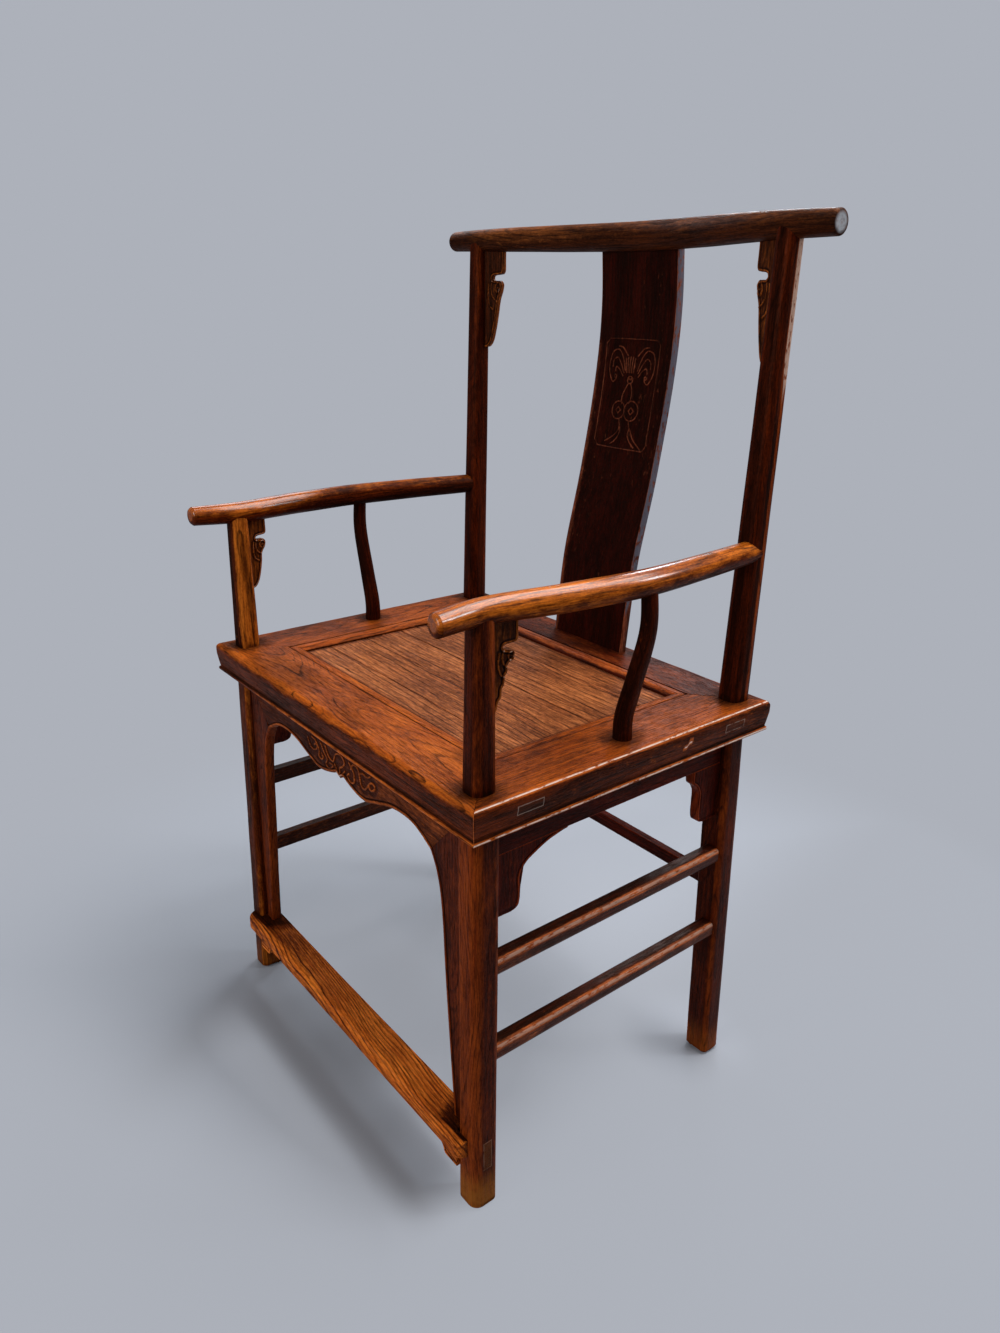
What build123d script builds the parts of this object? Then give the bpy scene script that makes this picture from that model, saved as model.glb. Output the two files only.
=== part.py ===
"""Official's hat armchair, built of separate timbers held by mortise-and-tenon joints.

The chair faces -Y and the sitter's left is +X.  The origin is on the floor, under the
middle of the whole chair's outline.  Heights are measured from the floor, and every
front-to-back place below is measured from the middle of the seat.
"""
from build123d import *
import math
import os

os.makedirs("parts", exist_ok=True)

# ---- Seat frame -------------------------------------------------------------------
seat_width = 590.0
seat_depth = 450.0
seat_height = 526.0
rail_thick = 39.0
side_rail_flat = 75.0      # flat top of a side rail, outside the bead
front_rail_flat = 72.0
rear_rail_flat = 66.0
bead_width = 16.0          # rounded bead around the panel
bead_fall = 4.0            # how far the bead falls to the panel
bead_line = 1.2            # incised line between flat and bead
edge_round = 7.0           # worn round of the upper outer edge
edge_undercut = 3.0        # how far the edge draws in above the lower bead
edge_bead = 5.0            # height of the lower bead of the edge
panel_drop = 6.5           # panel surface below the top of the rails
panel_thick = 11.0
tongue_thick = 6.0
tongue_depth = 8.0
panel_play = 0.6           # room for the panel to swell in its grooves
rail_tenon_width = 33.0
rail_tenon_thick = 9.5
rail_tenon_top = 11.5      # below the top of the rail
rail_tenon_inset = 0.5     # from the inner edge of the rail
batten_width = 30.0
batten_height = 19.0
batten_spacing = 210.0
batten_key = 4.0           # height of the dovetail in the panel
batten_flare = 2.0         # how far the dovetail widens on each side
batten_tenon = 14.0

# ---- Legs and posts ---------------------------------------------------------------
leg_size = 33.5
leg_inset_side = 18.0      # outer face of the leg inside the seat's edge
leg_inset_end = 16.0
splay_side = 9.5           # how far the foot stands outside the leg's top
splay_end = 5.5
leg_outer_round = 12.0
leg_side_round = 8.0
leg_inner_round = 2.5
front_post_base = 29.0
front_post_top = 24.4
front_post_round = 11.0    # corner radius of the front post at its base
rear_post_base = 31.5
rear_post_top = 25.0
rear_post_round = 10.5
post_shift_side = 1.2      # post axis outside the leg axis at the seat
front_post_shift_end = 1.0
rear_post_shift_end = 1.9
rear_post_lean = 10.2      # how far the rear post leans back from seat to crest
rear_post_spread = 2.8
post_tenon = 14.0          # round tenon at the top of each post
post_tenon_rise = 6.0      # above the axis of the rail it enters

# ---- Crest rail -------------------------------------------------------------------
crest_rise = 525.5         # axis of the crest rail above the seat
crest_length = 645.0
crest_bow = 50.5           # how far its middle is set back
crest_bow_half = 295.0
crest_end_radius = 13.1
crest_mid_radius = 17.5
crest_stations = 15

# ---- Arm rails --------------------------------------------------------------------
arm_rise = 182.3           # axis of the arm rail above the seat
arm_tip_reach = 251.5      # front end of the arm from the middle of the seat
arm_tip_out = 271.0
arm_mid_out = 283.5
arm_quarter_out = 276.0
arm_quarter_reach = 96.0
arm_tip_radius = 11.8
arm_mid_radius = 14.5
arm_rear_radius = 13.4
arm_tip_round = 2.5
arm_stations = 17
arm_tenon = 12.0

# ---- Arm struts -------------------------------------------------------------------
strut_set_back = 5.0
strut_foot_out = 260.5
strut_swell_out = 288.0
strut_head_out = 285.0
strut_mid_out = 272.0
strut_low_share = 0.1316     # heights of its bends, as shares of the arm's rise
strut_mid_share = 0.373
strut_swell_share = 0.735
strut_foot_radius = 11.0
strut_head_radius = 8.6
strut_tenon = 13.0
strut_tenon_depth = 18.0
strut_head_tenon = 9.0
strut_stations = 9

# ---- Back splat -------------------------------------------------------------------
splat_width = 134.0
splat_thick = 11.0
splat_foot_back = 195.0      # front face of the splat at the seat
splat_tongue_width = 118.0
splat_tongue_thick = 6.0
splat_tongue_depth = 15.0
splat_crest_tongue = 6.0     # above the crest rail's axis
splat_low_back = 208.0       # the same at four heights between seat and crest rail
splat_mid_back = 235.0
splat_high_back = 256.5
splat_upper_back = 259.3
splat_head_back = 254.5
splat_low_share = 0.2188     # those heights, as shares of the crest rail's rise
splat_mid_share = 0.4548
splat_high_share = 0.7212
splat_upper_share = 0.8544

# ---- Spandrels under the crest rail and the arms ------------------------------------
spandrel_thick = 8.0
spandrel_tongue_thick = 4.0
spandrel_tongue_depth = 4.0
spandrel_tongue_share = 0.8  # of the spandrel's width and height
crest_spandrel_width = 32.0
crest_spandrel_height = 129.0
crest_spandrel_angle = 14.5   # degrees back towards the bow of the crest rail
arm_spandrel_width = 27.0
arm_spandrel_height = 93.0
arm_spandrel_angle = 8.5      # degrees out towards the bow of the arm
# Outline of a spandrel, as shares of its width out from the post and of its height down
spandrel_tip = (1.0, 0.19)
spandrel_beak = (0.9, 0.24)
spandrel_notch = (0.58, 0.24)
spandrel_notch_foot = (0.58, 0.31)
spandrel_belly = (0.95, 0.33)
spandrel_belly_foot = (0.95, 0.41)
spandrel_curve = [(0.74, 0.56), (0.62, 0.8), (0.38, 0.96)]

# ---- Aprons -----------------------------------------------------------------------
apron_thick = 12.0
front_apron_setback = 6.0    # behind the outer face of the leg's top
side_apron_setback = 11.0
apron_height = 41.0
lobe_out = 52.0              # hanging lobes on each side of the middle
lobe_drop = 19.0
pendant_half = 8.0
pendant_drop = 13.0
pendant_root_drop = 9.0
arch_out = 137.0
apron_corner_out = 190.0     # lower end of the mitre
apron_corner_drop = 17.5
post_apron_shoulder = (208.0, 380.0)
post_apron_waist = (214.5, 304.0)
post_apron_foot_width = 19.0
apron_tongue_thick = 4.0
apron_tongue_depth = 5.0
tongue_margin = 6.0          # between a tongue's end and the apron's
bracket_height = 75.0
bracket_width = 34.0         # of the narrow lower part
bracket_foot_round = 9.0
bracket_tip = 4.0            # height of the blunt end of a bracket
bracket_shoulder = 27.0      # from a bracket's top down to its straight edge
front_bracket_reach = 86.0
rear_bracket_reach = 48.0
rear_bracket_cusp = 14.0
end_bracket_reach = 60.0

# ---- Footrest and stretchers --------------------------------------------------------
footrest_top = 98.0
footrest_lip_thick = 23.0
footrest_reach = 226.0       # front edge from the middle of the seat
footrest_back = 185.5
footrest_stem = 20.5         # thickness of the part under the lip
footrest_stem_bottom = 53.0
footrest_half_length = 271.0
footrest_end_round = 9.0
footrest_wear_round = 7.0
footrest_tenon_thick = 11.0
footrest_tenon_bottom = 57.0
footrest_tenon_top = 95.0
footrest_apron_thick = 9.0
footrest_apron_mid = 13.0
footrest_apron_end = 31.0
footrest_apron_foot = 24.0
stretcher_width = 17.5
stretcher_height = 22.0
stretcher_round = 6.5
stretcher_setback = 3.4      # behind the outer face of the leg
upper_stretcher_drop = 170.5   # below the seat frame
stretcher_spacing = 111.0      # from the upper side stretcher down to the lower one
rear_stretcher_drop = 56.5     # below the upper side stretcher
rear_stretcher_width = 13.0
rear_stretcher_height = 18.5
rear_stretcher_round = 3.0
stretcher_tenon_thick = 8.0
stretcher_tenon_height = 14.0
rear_tenon_thick = 6.0
rear_tenon_height = 12.0

# ---- Fits ---------------------------------------------------------------------------
joint_clearance = 0.12       # all round a tenon in its mortise

# ---- Worked out ---------------------------------------------------------------------
half_width = seat_width / 2
half_depth = seat_depth / 2
rail_bottom = seat_height - rail_thick
arm_height = seat_height + arm_rise
crest_height = seat_height + crest_rise
upper_stretcher_level = rail_bottom - upper_stretcher_drop
lower_stretcher_level = upper_stretcher_level - stretcher_spacing
rear_stretcher_level = upper_stretcher_level - rear_stretcher_drop
panel_top = seat_height - panel_drop
panel_bottom = panel_top - panel_thick
opening_side = half_width - side_rail_flat - bead_width
opening_front = half_depth - front_rail_flat - bead_width
opening_rear = half_depth - rear_rail_flat - bead_width
leg_out = half_width - leg_inset_side - leg_size / 2
leg_end = half_depth - leg_inset_end - leg_size / 2
post_out = leg_out + post_shift_side
front_post_y = -(leg_end + front_post_shift_end)
rear_post_y = leg_end + rear_post_shift_end
rear_head_out = post_out + rear_post_spread
rear_head_y = rear_post_y + rear_post_lean
crest_back_reach = rear_head_y + crest_bow + crest_mid_radius
seat_middle_y = (arm_tip_reach - crest_back_reach) / 2


def at(x, y, z):
    """A point given from the middle of the seat, in the chair's own frame."""
    return Vector(x, seat_middle_y + y, z)


def level(z, x=0.0, y=0.0):
    """A horizontal plane at height z, its origin x and y from the seat's middle."""
    return Plane(origin=at(x, y, z))


def front_plane(y):
    """An upright plane across the chair: local x is X and local y is height."""
    return Plane(origin=at(0, y, 0), x_dir=(1, 0, 0), z_dir=(0, -1, 0))


def side_plane(x):
    """An upright plane along the chair: local x is Y from the seat's middle."""
    return Plane(origin=at(x, 0, 0), x_dir=(0, 1, 0), z_dir=(1, 0, 0))


def foot_share(z):
    """0 at the top of the leg and 1 on the floor."""
    return (rail_bottom - z) / rail_bottom


def leg_x(z):
    return leg_out + splay_side * foot_share(z)


def leg_y(z):
    return leg_end + splay_end * foot_share(z)


def block(low, high, grow=0.0):
    """A block between two opposite corners; with grow it is the mortise that takes it."""
    a = at(*low)
    b = at(*high)
    with BuildPart() as piece:
        with Locations((a + b) / 2):
            Box(abs(b.X - a.X) + 2 * grow, abs(b.Y - a.Y) + 2 * grow, abs(b.Z - a.Z) + 2 * grow)
    return piece.part


def peg(x, y, bottom, top, diameter, grow=0.0):
    """An upright round tenon; with grow it is the hole that takes it."""
    with BuildPart() as piece:
        with BuildSketch(level(bottom - grow, x, y)):
            Circle(diameter / 2 + grow)
        extrude(amount=top - bottom + 2 * grow)
    return piece.part


def mirrored(left):
    """The right-hand twin of a left-hand piece."""
    with BuildPart() as right:
        mirror(left.part, about=Plane.YZ)
    return right


# ---- Plain shapes that the other timbers are fitted to --------------------------------
def leg_section(z, end):
    """Square section, well rounded outside and nearly sharp inside; end is -1 in front."""
    with BuildSketch(level(z, leg_x(z), end * leg_y(z))) as section:
        Rectangle(leg_size, leg_size)
        fillet(section.vertices().sort_by(lambda v: v.X + end * v.Y)[-1], leg_outer_round)
        fillet(section.vertices().sort_by(lambda v: v.X + end * v.Y)[0], leg_inner_round)
        fillet(section.vertices().sort_by(lambda v: v.X - end * v.Y)[-1], leg_side_round)
        fillet(section.vertices().sort_by(lambda v: v.X - end * v.Y)[0], leg_side_round)
    return section.sketch


def leg_and_post(end, base, top, corner, base_at, head_at, height):
    """Leg, neck through the seat frame and post above it, in one length of timber."""
    with BuildPart() as timber:
        loft(sections=[leg_section(0, end), leg_section(rail_bottom, end)])
        with BuildSketch(level(rail_bottom, *base_at)):
            RectangleRounded(base, base, corner)
        extrude(amount=rail_thick)
        with BuildSketch(level(seat_height, *base_at)):
            RectangleRounded(base, base, corner)
        with BuildSketch(level(height, *head_at)):
            RectangleRounded(top, top, corner * top / base)
        loft()
    return timber


front_blank = leg_and_post(
    -1, front_post_base, front_post_top, front_post_round,
    (post_out, front_post_y), (post_out, front_post_y), arm_height,
)
rear_blank = leg_and_post(
    1, rear_post_base, rear_post_top, rear_post_round,
    (post_out, rear_post_y), (rear_head_out, rear_head_y), crest_height,
)


def crest_y(x):
    """Plan line of the crest rail: straight ends and a bowed middle."""
    share = min(abs(x) / crest_bow_half, 1.0)
    return rear_head_y + crest_bow * (1 + math.cos(math.pi * share)) / 2


def crest_radius(x):
    swell = crest_mid_radius - crest_end_radius
    return crest_end_radius + swell * math.cos(math.pi * x / crest_length)


with BuildPart() as crest_blank:
    for i in range(crest_stations):
        x = crest_length * (i / (crest_stations - 1) - 0.5)
        slope = crest_y(x + 1) - crest_y(x - 1)
        middle = at(x, crest_y(x), crest_height)
        with BuildSketch(Plane(middle, x_dir=(0, 0, 1), z_dir=(2, slope, 0))):
            Circle(crest_radius(x))
    loft()

# Where the arm's axis meets the leaning rear post
arm_share = arm_rise / crest_rise
arm_rear_y = rear_post_y + rear_post_lean * arm_share
arm_rear_out = post_out + rear_post_spread * arm_share
arm_line = Spline(
    at(arm_tip_out, -arm_tip_reach, arm_height),
    at(post_out, front_post_y, arm_height),
    at(arm_quarter_out, -arm_quarter_reach, arm_height),
    at(arm_mid_out, 0, arm_height),
    at(arm_quarter_out, arm_quarter_reach, arm_height),
    at(arm_rear_out, arm_rear_y, arm_height),
)


def arm_radius(share):
    """Radius of the arm from its tip, at share 0, to the rear post, at share 1."""
    end = arm_tip_radius + (arm_rear_radius - arm_tip_radius) * share
    return end + (arm_mid_radius - end) * math.sin(math.pi * share)


with BuildPart() as arm_blank:
    for i in range(arm_stations):
        share = i / (arm_stations - 1)
        along = Vector(0, 1, 0) if i == 0 else arm_line % share
        with BuildSketch(Plane(arm_line @ share, x_dir=(0, 0, 1), z_dir=along)):
            Circle(arm_radius(share))
    loft()

strut_line = Spline(
    at(strut_foot_out, strut_set_back, seat_height),
    at(strut_foot_out, strut_set_back, seat_height + strut_low_share * arm_rise),
    at(strut_mid_out, strut_set_back, seat_height + strut_mid_share * arm_rise),
    at(strut_swell_out, strut_set_back, seat_height + strut_swell_share * arm_rise),
    at(strut_head_out, strut_set_back, arm_height),
    tangents=[(0, 0, 1), (0, 0, 1)],
)

with BuildPart() as strut_blank:
    for i in range(strut_stations):
        share = i / (strut_stations - 1)
        radius = strut_foot_radius + (strut_head_radius - strut_foot_radius) * share
        with BuildSketch(Plane(strut_line @ share, x_dir=(0, 1, 0), z_dir=strut_line % share)):
            Circle(radius)
    loft()

# ---- Tenons and tongues: with grow each one is the mortise or groove that takes it -------
footrest_stem_y = -(footrest_back + footrest_stem / 2)


def footrest_tenon(grow=0.0):
    """Through tenon of the footrest, left long on the outer side of the leg."""
    front = footrest_stem_y - footrest_tenon_thick / 2
    back = footrest_stem_y + footrest_tenon_thick / 2
    return block(
        (leg_out - leg_size, front, footrest_tenon_bottom),
        (leg_out + 2 * leg_size, back, footrest_tenon_top),
        grow,
    )


def side_stretcher_x(z):
    """Middle of a side stretcher, set back from the outer face of the legs."""
    return leg_x(z) + leg_size / 2 - stretcher_setback - stretcher_width / 2


def side_stretcher_tenon(z, end, grow=0.0):
    x = side_stretcher_x(z)
    half_thick = stretcher_tenon_thick / 2
    half_height = stretcher_tenon_height / 2
    return block(
        (x - half_thick, end * (leg_y(z) - leg_size), z - half_height),
        (x + half_thick, end * leg_y(z), z + half_height),
        grow,
    )


rear_stretcher_y = (
    leg_y(rear_stretcher_level) + leg_size / 2 - stretcher_setback - rear_stretcher_width / 2
)


def rear_stretcher_tenon(grow=0.0):
    x = leg_x(rear_stretcher_level)
    half_height = rear_tenon_height / 2
    return block(
        (x - leg_size, rear_stretcher_y - rear_tenon_thick / 2, rear_stretcher_level - half_height),
        (x, rear_stretcher_y + rear_tenon_thick / 2, rear_stretcher_level + half_height),
        grow,
    )


front_apron_face = -(half_depth - leg_inset_end - front_apron_setback)
rear_apron_face = -front_apron_face
side_apron_face = half_width - leg_inset_side - side_apron_setback
side_apron_mid = side_apron_face - apron_thick / 2
apron_bottom = rail_bottom - apron_height
bracket_bottom = apron_bottom - bracket_height


def slanted_tongue(plane, low_face, high_face, bottom, top, toward, grow):
    """Thin tongue that follows the slanted face of a leg."""
    inner = -apron_tongue_depth - grow
    outer = apron_tongue_depth + grow
    with BuildPart() as piece:
        with BuildSketch(plane):
            Polygon(
                (toward * (low_face + inner), bottom - grow),
                (toward * (low_face + outer), bottom - grow),
                (toward * (high_face + outer), top + grow),
                (toward * (high_face + inner), top + grow),
                align=None,
            )
        extrude(amount=apron_tongue_thick / 2 + grow, both=True)
    return piece.part


def end_tongue(face, bottom, top, grow=0.0):
    """Tongue of an apron that runs across the chair."""
    middle = face + math.copysign(apron_thick / 2, -face)
    low = leg_x(bottom) - leg_size / 2
    high = leg_x(top) - leg_size / 2
    return slanted_tongue(front_plane(middle), low, high, bottom, top, 1, grow)


def side_tongue(end, bottom, top, grow=0.0):
    """Tongue of an apron that runs along the chair; end is -1 in front."""
    low = leg_y(bottom) - leg_size / 2
    high = leg_y(top) - leg_size / 2
    return slanted_tongue(side_plane(side_apron_mid), low, high, bottom, top, end, grow)


# Lowest and highest points of the tongues in the legs
post_apron_tongue = (footrest_top + tongue_margin, rail_bottom - tongue_margin)
side_apron_tongue = (apron_bottom + tongue_margin, rail_bottom - tongue_margin)
bracket_tongue = (bracket_bottom + tongue_margin, apron_bottom - tongue_margin)

crest_spandrel_dir = Vector(-1, 0, 0).rotate(Axis.Z, -crest_spandrel_angle)
arm_spandrel_dir = Vector(0, 1, 0).rotate(Axis.Z, -arm_spandrel_angle)


def corner_plane(x, y, direction):
    """Upright plane through a post's axis; local x runs from the axis along the rail."""
    return Plane(origin=at(x, y, 0), x_dir=direction, z_dir=direction.cross(Vector(0, 0, 1)))


# Plane, half width of the post, underside of the rail, width and height of each spandrel
crest_spandrel_fit = (
    corner_plane(rear_head_out, rear_head_y, crest_spandrel_dir),
    rear_post_top / 2,
    crest_height - crest_radius(rear_head_out),
    crest_spandrel_width,
    crest_spandrel_height,
)
arm_spandrel_fit = (
    corner_plane(post_out, front_post_y, arm_spandrel_dir),
    front_post_top / 2,
    arm_height - arm_tip_radius,
    arm_spandrel_width,
    arm_spandrel_height,
)


def spandrel(plane, half_post, underside, width, height):
    """Cusped plate in the corner between a post and the rail above it."""

    def spot(share):
        return (half_post + share[0] * width, underside - share[1] * height)

    top = underside + spandrel_tip[1] * height
    with BuildPart() as piece:
        with BuildSketch(plane):
            with BuildLine():
                Polyline(
                    (0, underside - height),
                    (0, top),
                    (half_post + width, top),
                    spot(spandrel_tip),
                )
                Spline(spot(spandrel_tip), spot(spandrel_beak), spot(spandrel_notch))
                Line(spot(spandrel_notch), spot(spandrel_notch_foot))
                Spline(spot(spandrel_notch_foot), spot(spandrel_belly), spot(spandrel_belly_foot))
                Spline(
                    spot(spandrel_belly_foot),
                    *[spot(share) for share in spandrel_curve],
                    (0, underside - height),
                )
            make_face()
        extrude(amount=spandrel_thick / 2, both=True)
    return piece.part


def spandrel_tongue(plane, half_post, underside, width, height, grow=0.0):
    """Thin tongue of a spandrel: one arm in the post and one in the rail above."""
    low = underside - spandrel_tongue_share * height
    depth = 2 * spandrel_tongue_depth + 2 * grow
    with BuildPart() as piece:
        with BuildSketch(plane):
            with Locations((half_post, (low + underside) / 2)):
                Rectangle(depth, underside - low + 2 * grow)
            with Locations((half_post + width / 2, underside)):
                Rectangle(spandrel_tongue_share * width + 2 * grow, depth)
        extrude(amount=spandrel_tongue_thick / 2 + grow, both=True)
    return piece.part


def splat_head_tongue(grow=0.0):
    """Upper tongue of the splat, in the crest rail."""
    half_width = splat_tongue_width / 2
    front = crest_y(0) - splat_tongue_thick / 2
    back = crest_y(0) + splat_tongue_thick / 2
    bottom = crest_height - crest_mid_radius
    return block(
        (-half_width, front, bottom), (half_width, back, crest_height + splat_crest_tongue), grow
    )


def splat_foot_tongue(grow=0.0):
    """Lower tongue of the splat, in the rear seat rail."""
    half_width = splat_tongue_width / 2
    front = splat_foot_back + (splat_thick - splat_tongue_thick) / 2
    back = front + splat_tongue_thick
    return block(
        (-half_width, front, seat_height - splat_tongue_depth), (half_width, back, seat_height), grow
    )


def arm_tenon_round(grow=0.0):
    """Round tenon of the arm, in the rear post."""
    with BuildPart() as piece:
        with BuildSketch(front_plane(arm_rear_y + grow)):
            with Locations((arm_rear_out, arm_height)):
                Circle(arm_tenon / 2 + grow)
        extrude(amount=rear_post_base + grow)
    return piece.part


def front_head_peg(grow=0.0):
    return peg(
        post_out, front_post_y, arm_height - 2 * post_tenon, arm_height + post_tenon_rise,
        post_tenon, grow,
    )


def rear_head_peg(grow=0.0):
    return peg(
        rear_head_out, rear_head_y, crest_height - 2 * post_tenon, crest_height + post_tenon_rise,
        post_tenon, grow,
    )


def strut_head_peg(grow=0.0):
    return peg(
        strut_head_out, strut_set_back, arm_height - 2 * strut_head_tenon, arm_height,
        strut_head_tenon, grow,
    )


def strut_foot_peg(grow=0.0):
    return peg(
        strut_foot_out, strut_set_back, seat_height - strut_tenon_depth, seat_height,
        strut_tenon, grow,
    )


# ---- Posts ------------------------------------------------------------------------------
with BuildPart() as front_post_left:
    add(front_blank.part)
    add(arm_blank.part, mode=Mode.SUBTRACT)
    add(front_head_peg())
    add(footrest_tenon(joint_clearance), mode=Mode.SUBTRACT)
    add(side_stretcher_tenon(upper_stretcher_level, -1, joint_clearance), mode=Mode.SUBTRACT)
    add(side_stretcher_tenon(lower_stretcher_level, -1, joint_clearance), mode=Mode.SUBTRACT)
    add(end_tongue(front_apron_face, *post_apron_tongue, joint_clearance), mode=Mode.SUBTRACT)
    add(side_tongue(-1, *side_apron_tongue, joint_clearance), mode=Mode.SUBTRACT)
    add(side_tongue(-1, *bracket_tongue, joint_clearance), mode=Mode.SUBTRACT)
    add(spandrel_tongue(*arm_spandrel_fit, joint_clearance), mode=Mode.SUBTRACT)
front_post_right = mirrored(front_post_left)

with BuildPart() as rear_post_left:
    add(rear_blank.part)
    add(crest_blank.part, mode=Mode.SUBTRACT)
    add(rear_head_peg())
    add(arm_tenon_round(joint_clearance), mode=Mode.SUBTRACT)
    add(rear_stretcher_tenon(joint_clearance), mode=Mode.SUBTRACT)
    add(side_stretcher_tenon(upper_stretcher_level, 1, joint_clearance), mode=Mode.SUBTRACT)
    add(side_stretcher_tenon(lower_stretcher_level, 1, joint_clearance), mode=Mode.SUBTRACT)
    add(end_tongue(rear_apron_face, *side_apron_tongue, joint_clearance), mode=Mode.SUBTRACT)
    add(end_tongue(rear_apron_face, *bracket_tongue, joint_clearance), mode=Mode.SUBTRACT)
    add(side_tongue(1, *side_apron_tongue, joint_clearance), mode=Mode.SUBTRACT)
    add(side_tongue(1, *bracket_tongue, joint_clearance), mode=Mode.SUBTRACT)
    add(spandrel_tongue(*crest_spandrel_fit, joint_clearance), mode=Mode.SUBTRACT)
rear_post_right = mirrored(rear_post_left)

# ---- Crest rail ---------------------------------------------------------------------------
with BuildPart() as crest_mortises:
    add(rear_head_peg(joint_clearance))
    add(spandrel_tongue(*crest_spandrel_fit, joint_clearance))
    mirror(about=Plane.YZ)
    add(splat_head_tongue(joint_clearance))

with BuildPart() as crest_rail:
    add(crest_blank.part)
    add(crest_mortises.part, mode=Mode.SUBTRACT)

# ---- Arm rails and their struts -------------------------------------------------------------
with BuildPart() as arm_rail_left:
    add(arm_blank.part)
    fillet(edges().group_by(Axis.Y)[0], arm_tip_round)
    add(rear_blank.part, mode=Mode.SUBTRACT)
    add(arm_tenon_round())
    add(front_head_peg(joint_clearance), mode=Mode.SUBTRACT)
    add(strut_head_peg(joint_clearance), mode=Mode.SUBTRACT)
    add(spandrel_tongue(*arm_spandrel_fit, joint_clearance), mode=Mode.SUBTRACT)
arm_rail_right = mirrored(arm_rail_left)

with BuildPart() as arm_strut_left:
    add(strut_blank.part)
    add(arm_blank.part, mode=Mode.SUBTRACT)
    add(strut_head_peg())
    add(strut_foot_peg())
arm_strut_right = mirrored(arm_strut_left)

# ---- Spandrels ------------------------------------------------------------------------------
with BuildPart() as crest_spandrel_left:
    add(spandrel(*crest_spandrel_fit))
    add(rear_blank.part, mode=Mode.SUBTRACT)
    add(crest_blank.part, mode=Mode.SUBTRACT)
    add(spandrel_tongue(*crest_spandrel_fit))
crest_spandrel_right = mirrored(crest_spandrel_left)

with BuildPart() as arm_spandrel_left:
    add(spandrel(*arm_spandrel_fit))
    add(front_blank.part, mode=Mode.SUBTRACT)
    add(arm_blank.part, mode=Mode.SUBTRACT)
    add(spandrel_tongue(*arm_spandrel_fit))
arm_spandrel_right = mirrored(arm_spandrel_left)

# ---- Back splat -----------------------------------------------------------------------------
splat_front = [
    (splat_foot_back, seat_height),
    (splat_low_back, seat_height + splat_low_share * crest_rise),
    (splat_mid_back, seat_height + splat_mid_share * crest_rise),
    (splat_high_back, seat_height + splat_high_share * crest_rise),
    (splat_upper_back, seat_height + splat_upper_share * crest_rise),
    (splat_head_back, crest_height),
]

with BuildPart() as back_splat:
    with BuildSketch(side_plane(0)):
        with BuildLine():
            front = Spline(*splat_front)
            back = Spline(*[(y + splat_thick, z) for y, z in splat_front])
            Line(front @ 0, back @ 0)
            Line(front @ 1, back @ 1)
        make_face()
    extrude(amount=splat_width / 2, both=True)
    add(crest_blank.part, mode=Mode.SUBTRACT)
    add(splat_head_tongue())
    add(splat_foot_tongue())

# ---- Seat frame -----------------------------------------------------------------------------
def rail_profile(plane, flat):
    """Section of a seat rail: local x is the distance in from the edge, local y is height."""
    bead_start = flat + bead_line
    inner = flat + bead_width
    shoulder = rail_bottom + edge_bead
    with BuildSketch(plane) as profile:
        with BuildLine():
            Line((inner, rail_bottom), (edge_undercut, rail_bottom))
            ThreePointArc(
                (edge_undercut, rail_bottom),
                (edge_undercut / 3, (rail_bottom + shoulder) / 2),
                (edge_undercut, shoulder),
            )
            Line((edge_undercut, shoulder), (0, seat_height - 2 * edge_round))
            ThreePointArc(
                (0, seat_height - 2 * edge_round),
                (edge_round / 4, seat_height - edge_round / 2),
                (edge_round, seat_height),
            )
            Polyline(
                (edge_round, seat_height),
                (flat, seat_height),
                (flat + bead_line / 2, seat_height - bead_line),
                (bead_start, seat_height - bead_line / 2),
            )
            ThreePointArc(
                (bead_start, seat_height - bead_line / 2),
                (flat + 0.62 * bead_width, seat_height - bead_line / 2),
                (inner, seat_height - bead_fall),
            )
            Line((inner, seat_height - bead_fall), (inner, rail_bottom))
        make_face()
    return profile.sketch


def rail_tenon(inner_y, grow=0.0):
    """Through tenons of a front or rear rail, left long past the sides of the seat frame."""
    outer_y = inner_y + math.copysign(rail_tenon_width, inner_y)
    top = seat_height - rail_tenon_top
    reach = half_width + rail_tenon_width
    with BuildPart() as pair:
        add(block((opening_side, inner_y, top - rail_tenon_thick), (reach, outer_y, top), grow))
        mirror(about=Plane.YZ)
    return pair.part


front_tenon_y = -(opening_front + rail_tenon_inset)
rear_tenon_y = opening_rear + rail_tenon_inset


def panel_tongue(grow=0.0):
    """Outline of the panel's thin edge, in its groove in the rails."""
    reach = tongue_depth - panel_play if grow == 0.0 else tongue_depth
    bottom = panel_bottom - grow
    return block(
        (-opening_side - reach, -opening_front - reach, bottom),
        (opening_side + reach, opening_rear + reach, panel_bottom + tongue_thick + grow),
    )


def necks(grow):
    """The four necks that pass through the seat frame, grown for their holes."""
    with BuildPart() as holes:
        for y, base, corner in (
            (front_post_y, front_post_base, front_post_round),
            (rear_post_y, rear_post_base, rear_post_round),
        ):
            with BuildSketch(level(rail_bottom - 1, post_out, y)):
                RectangleRounded(base + 2 * grow, base + 2 * grow, corner + grow)
            extrude(amount=rail_thick + 2)
        mirror(about=Plane.YZ)
    return holes.part


def batten(side, grow=0.0):
    """Cross batten with a dovetail in the panel and tenons in the front and rear rails."""
    x = side * batten_spacing / 2
    half = batten_width / 2 + grow
    top = panel_bottom - batten_height
    with BuildPart() as piece:
        with BuildSketch(front_plane(-opening_front - batten_tenon - grow)):
            Polygon(
                (x - half, top - grow),
                (x + half, top - grow),
                (x + half, panel_bottom + grow),
                (x + half - batten_flare, panel_bottom + grow),
                (x + half, panel_bottom + batten_key + grow),
                (x - half, panel_bottom + batten_key + grow),
                (x - half + batten_flare, panel_bottom + grow),
                (x - half, panel_bottom + grow),
                align=None,
            )
        extrude(amount=-(opening_front + opening_rear + 2 * batten_tenon + 2 * grow))
    return piece.part


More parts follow.
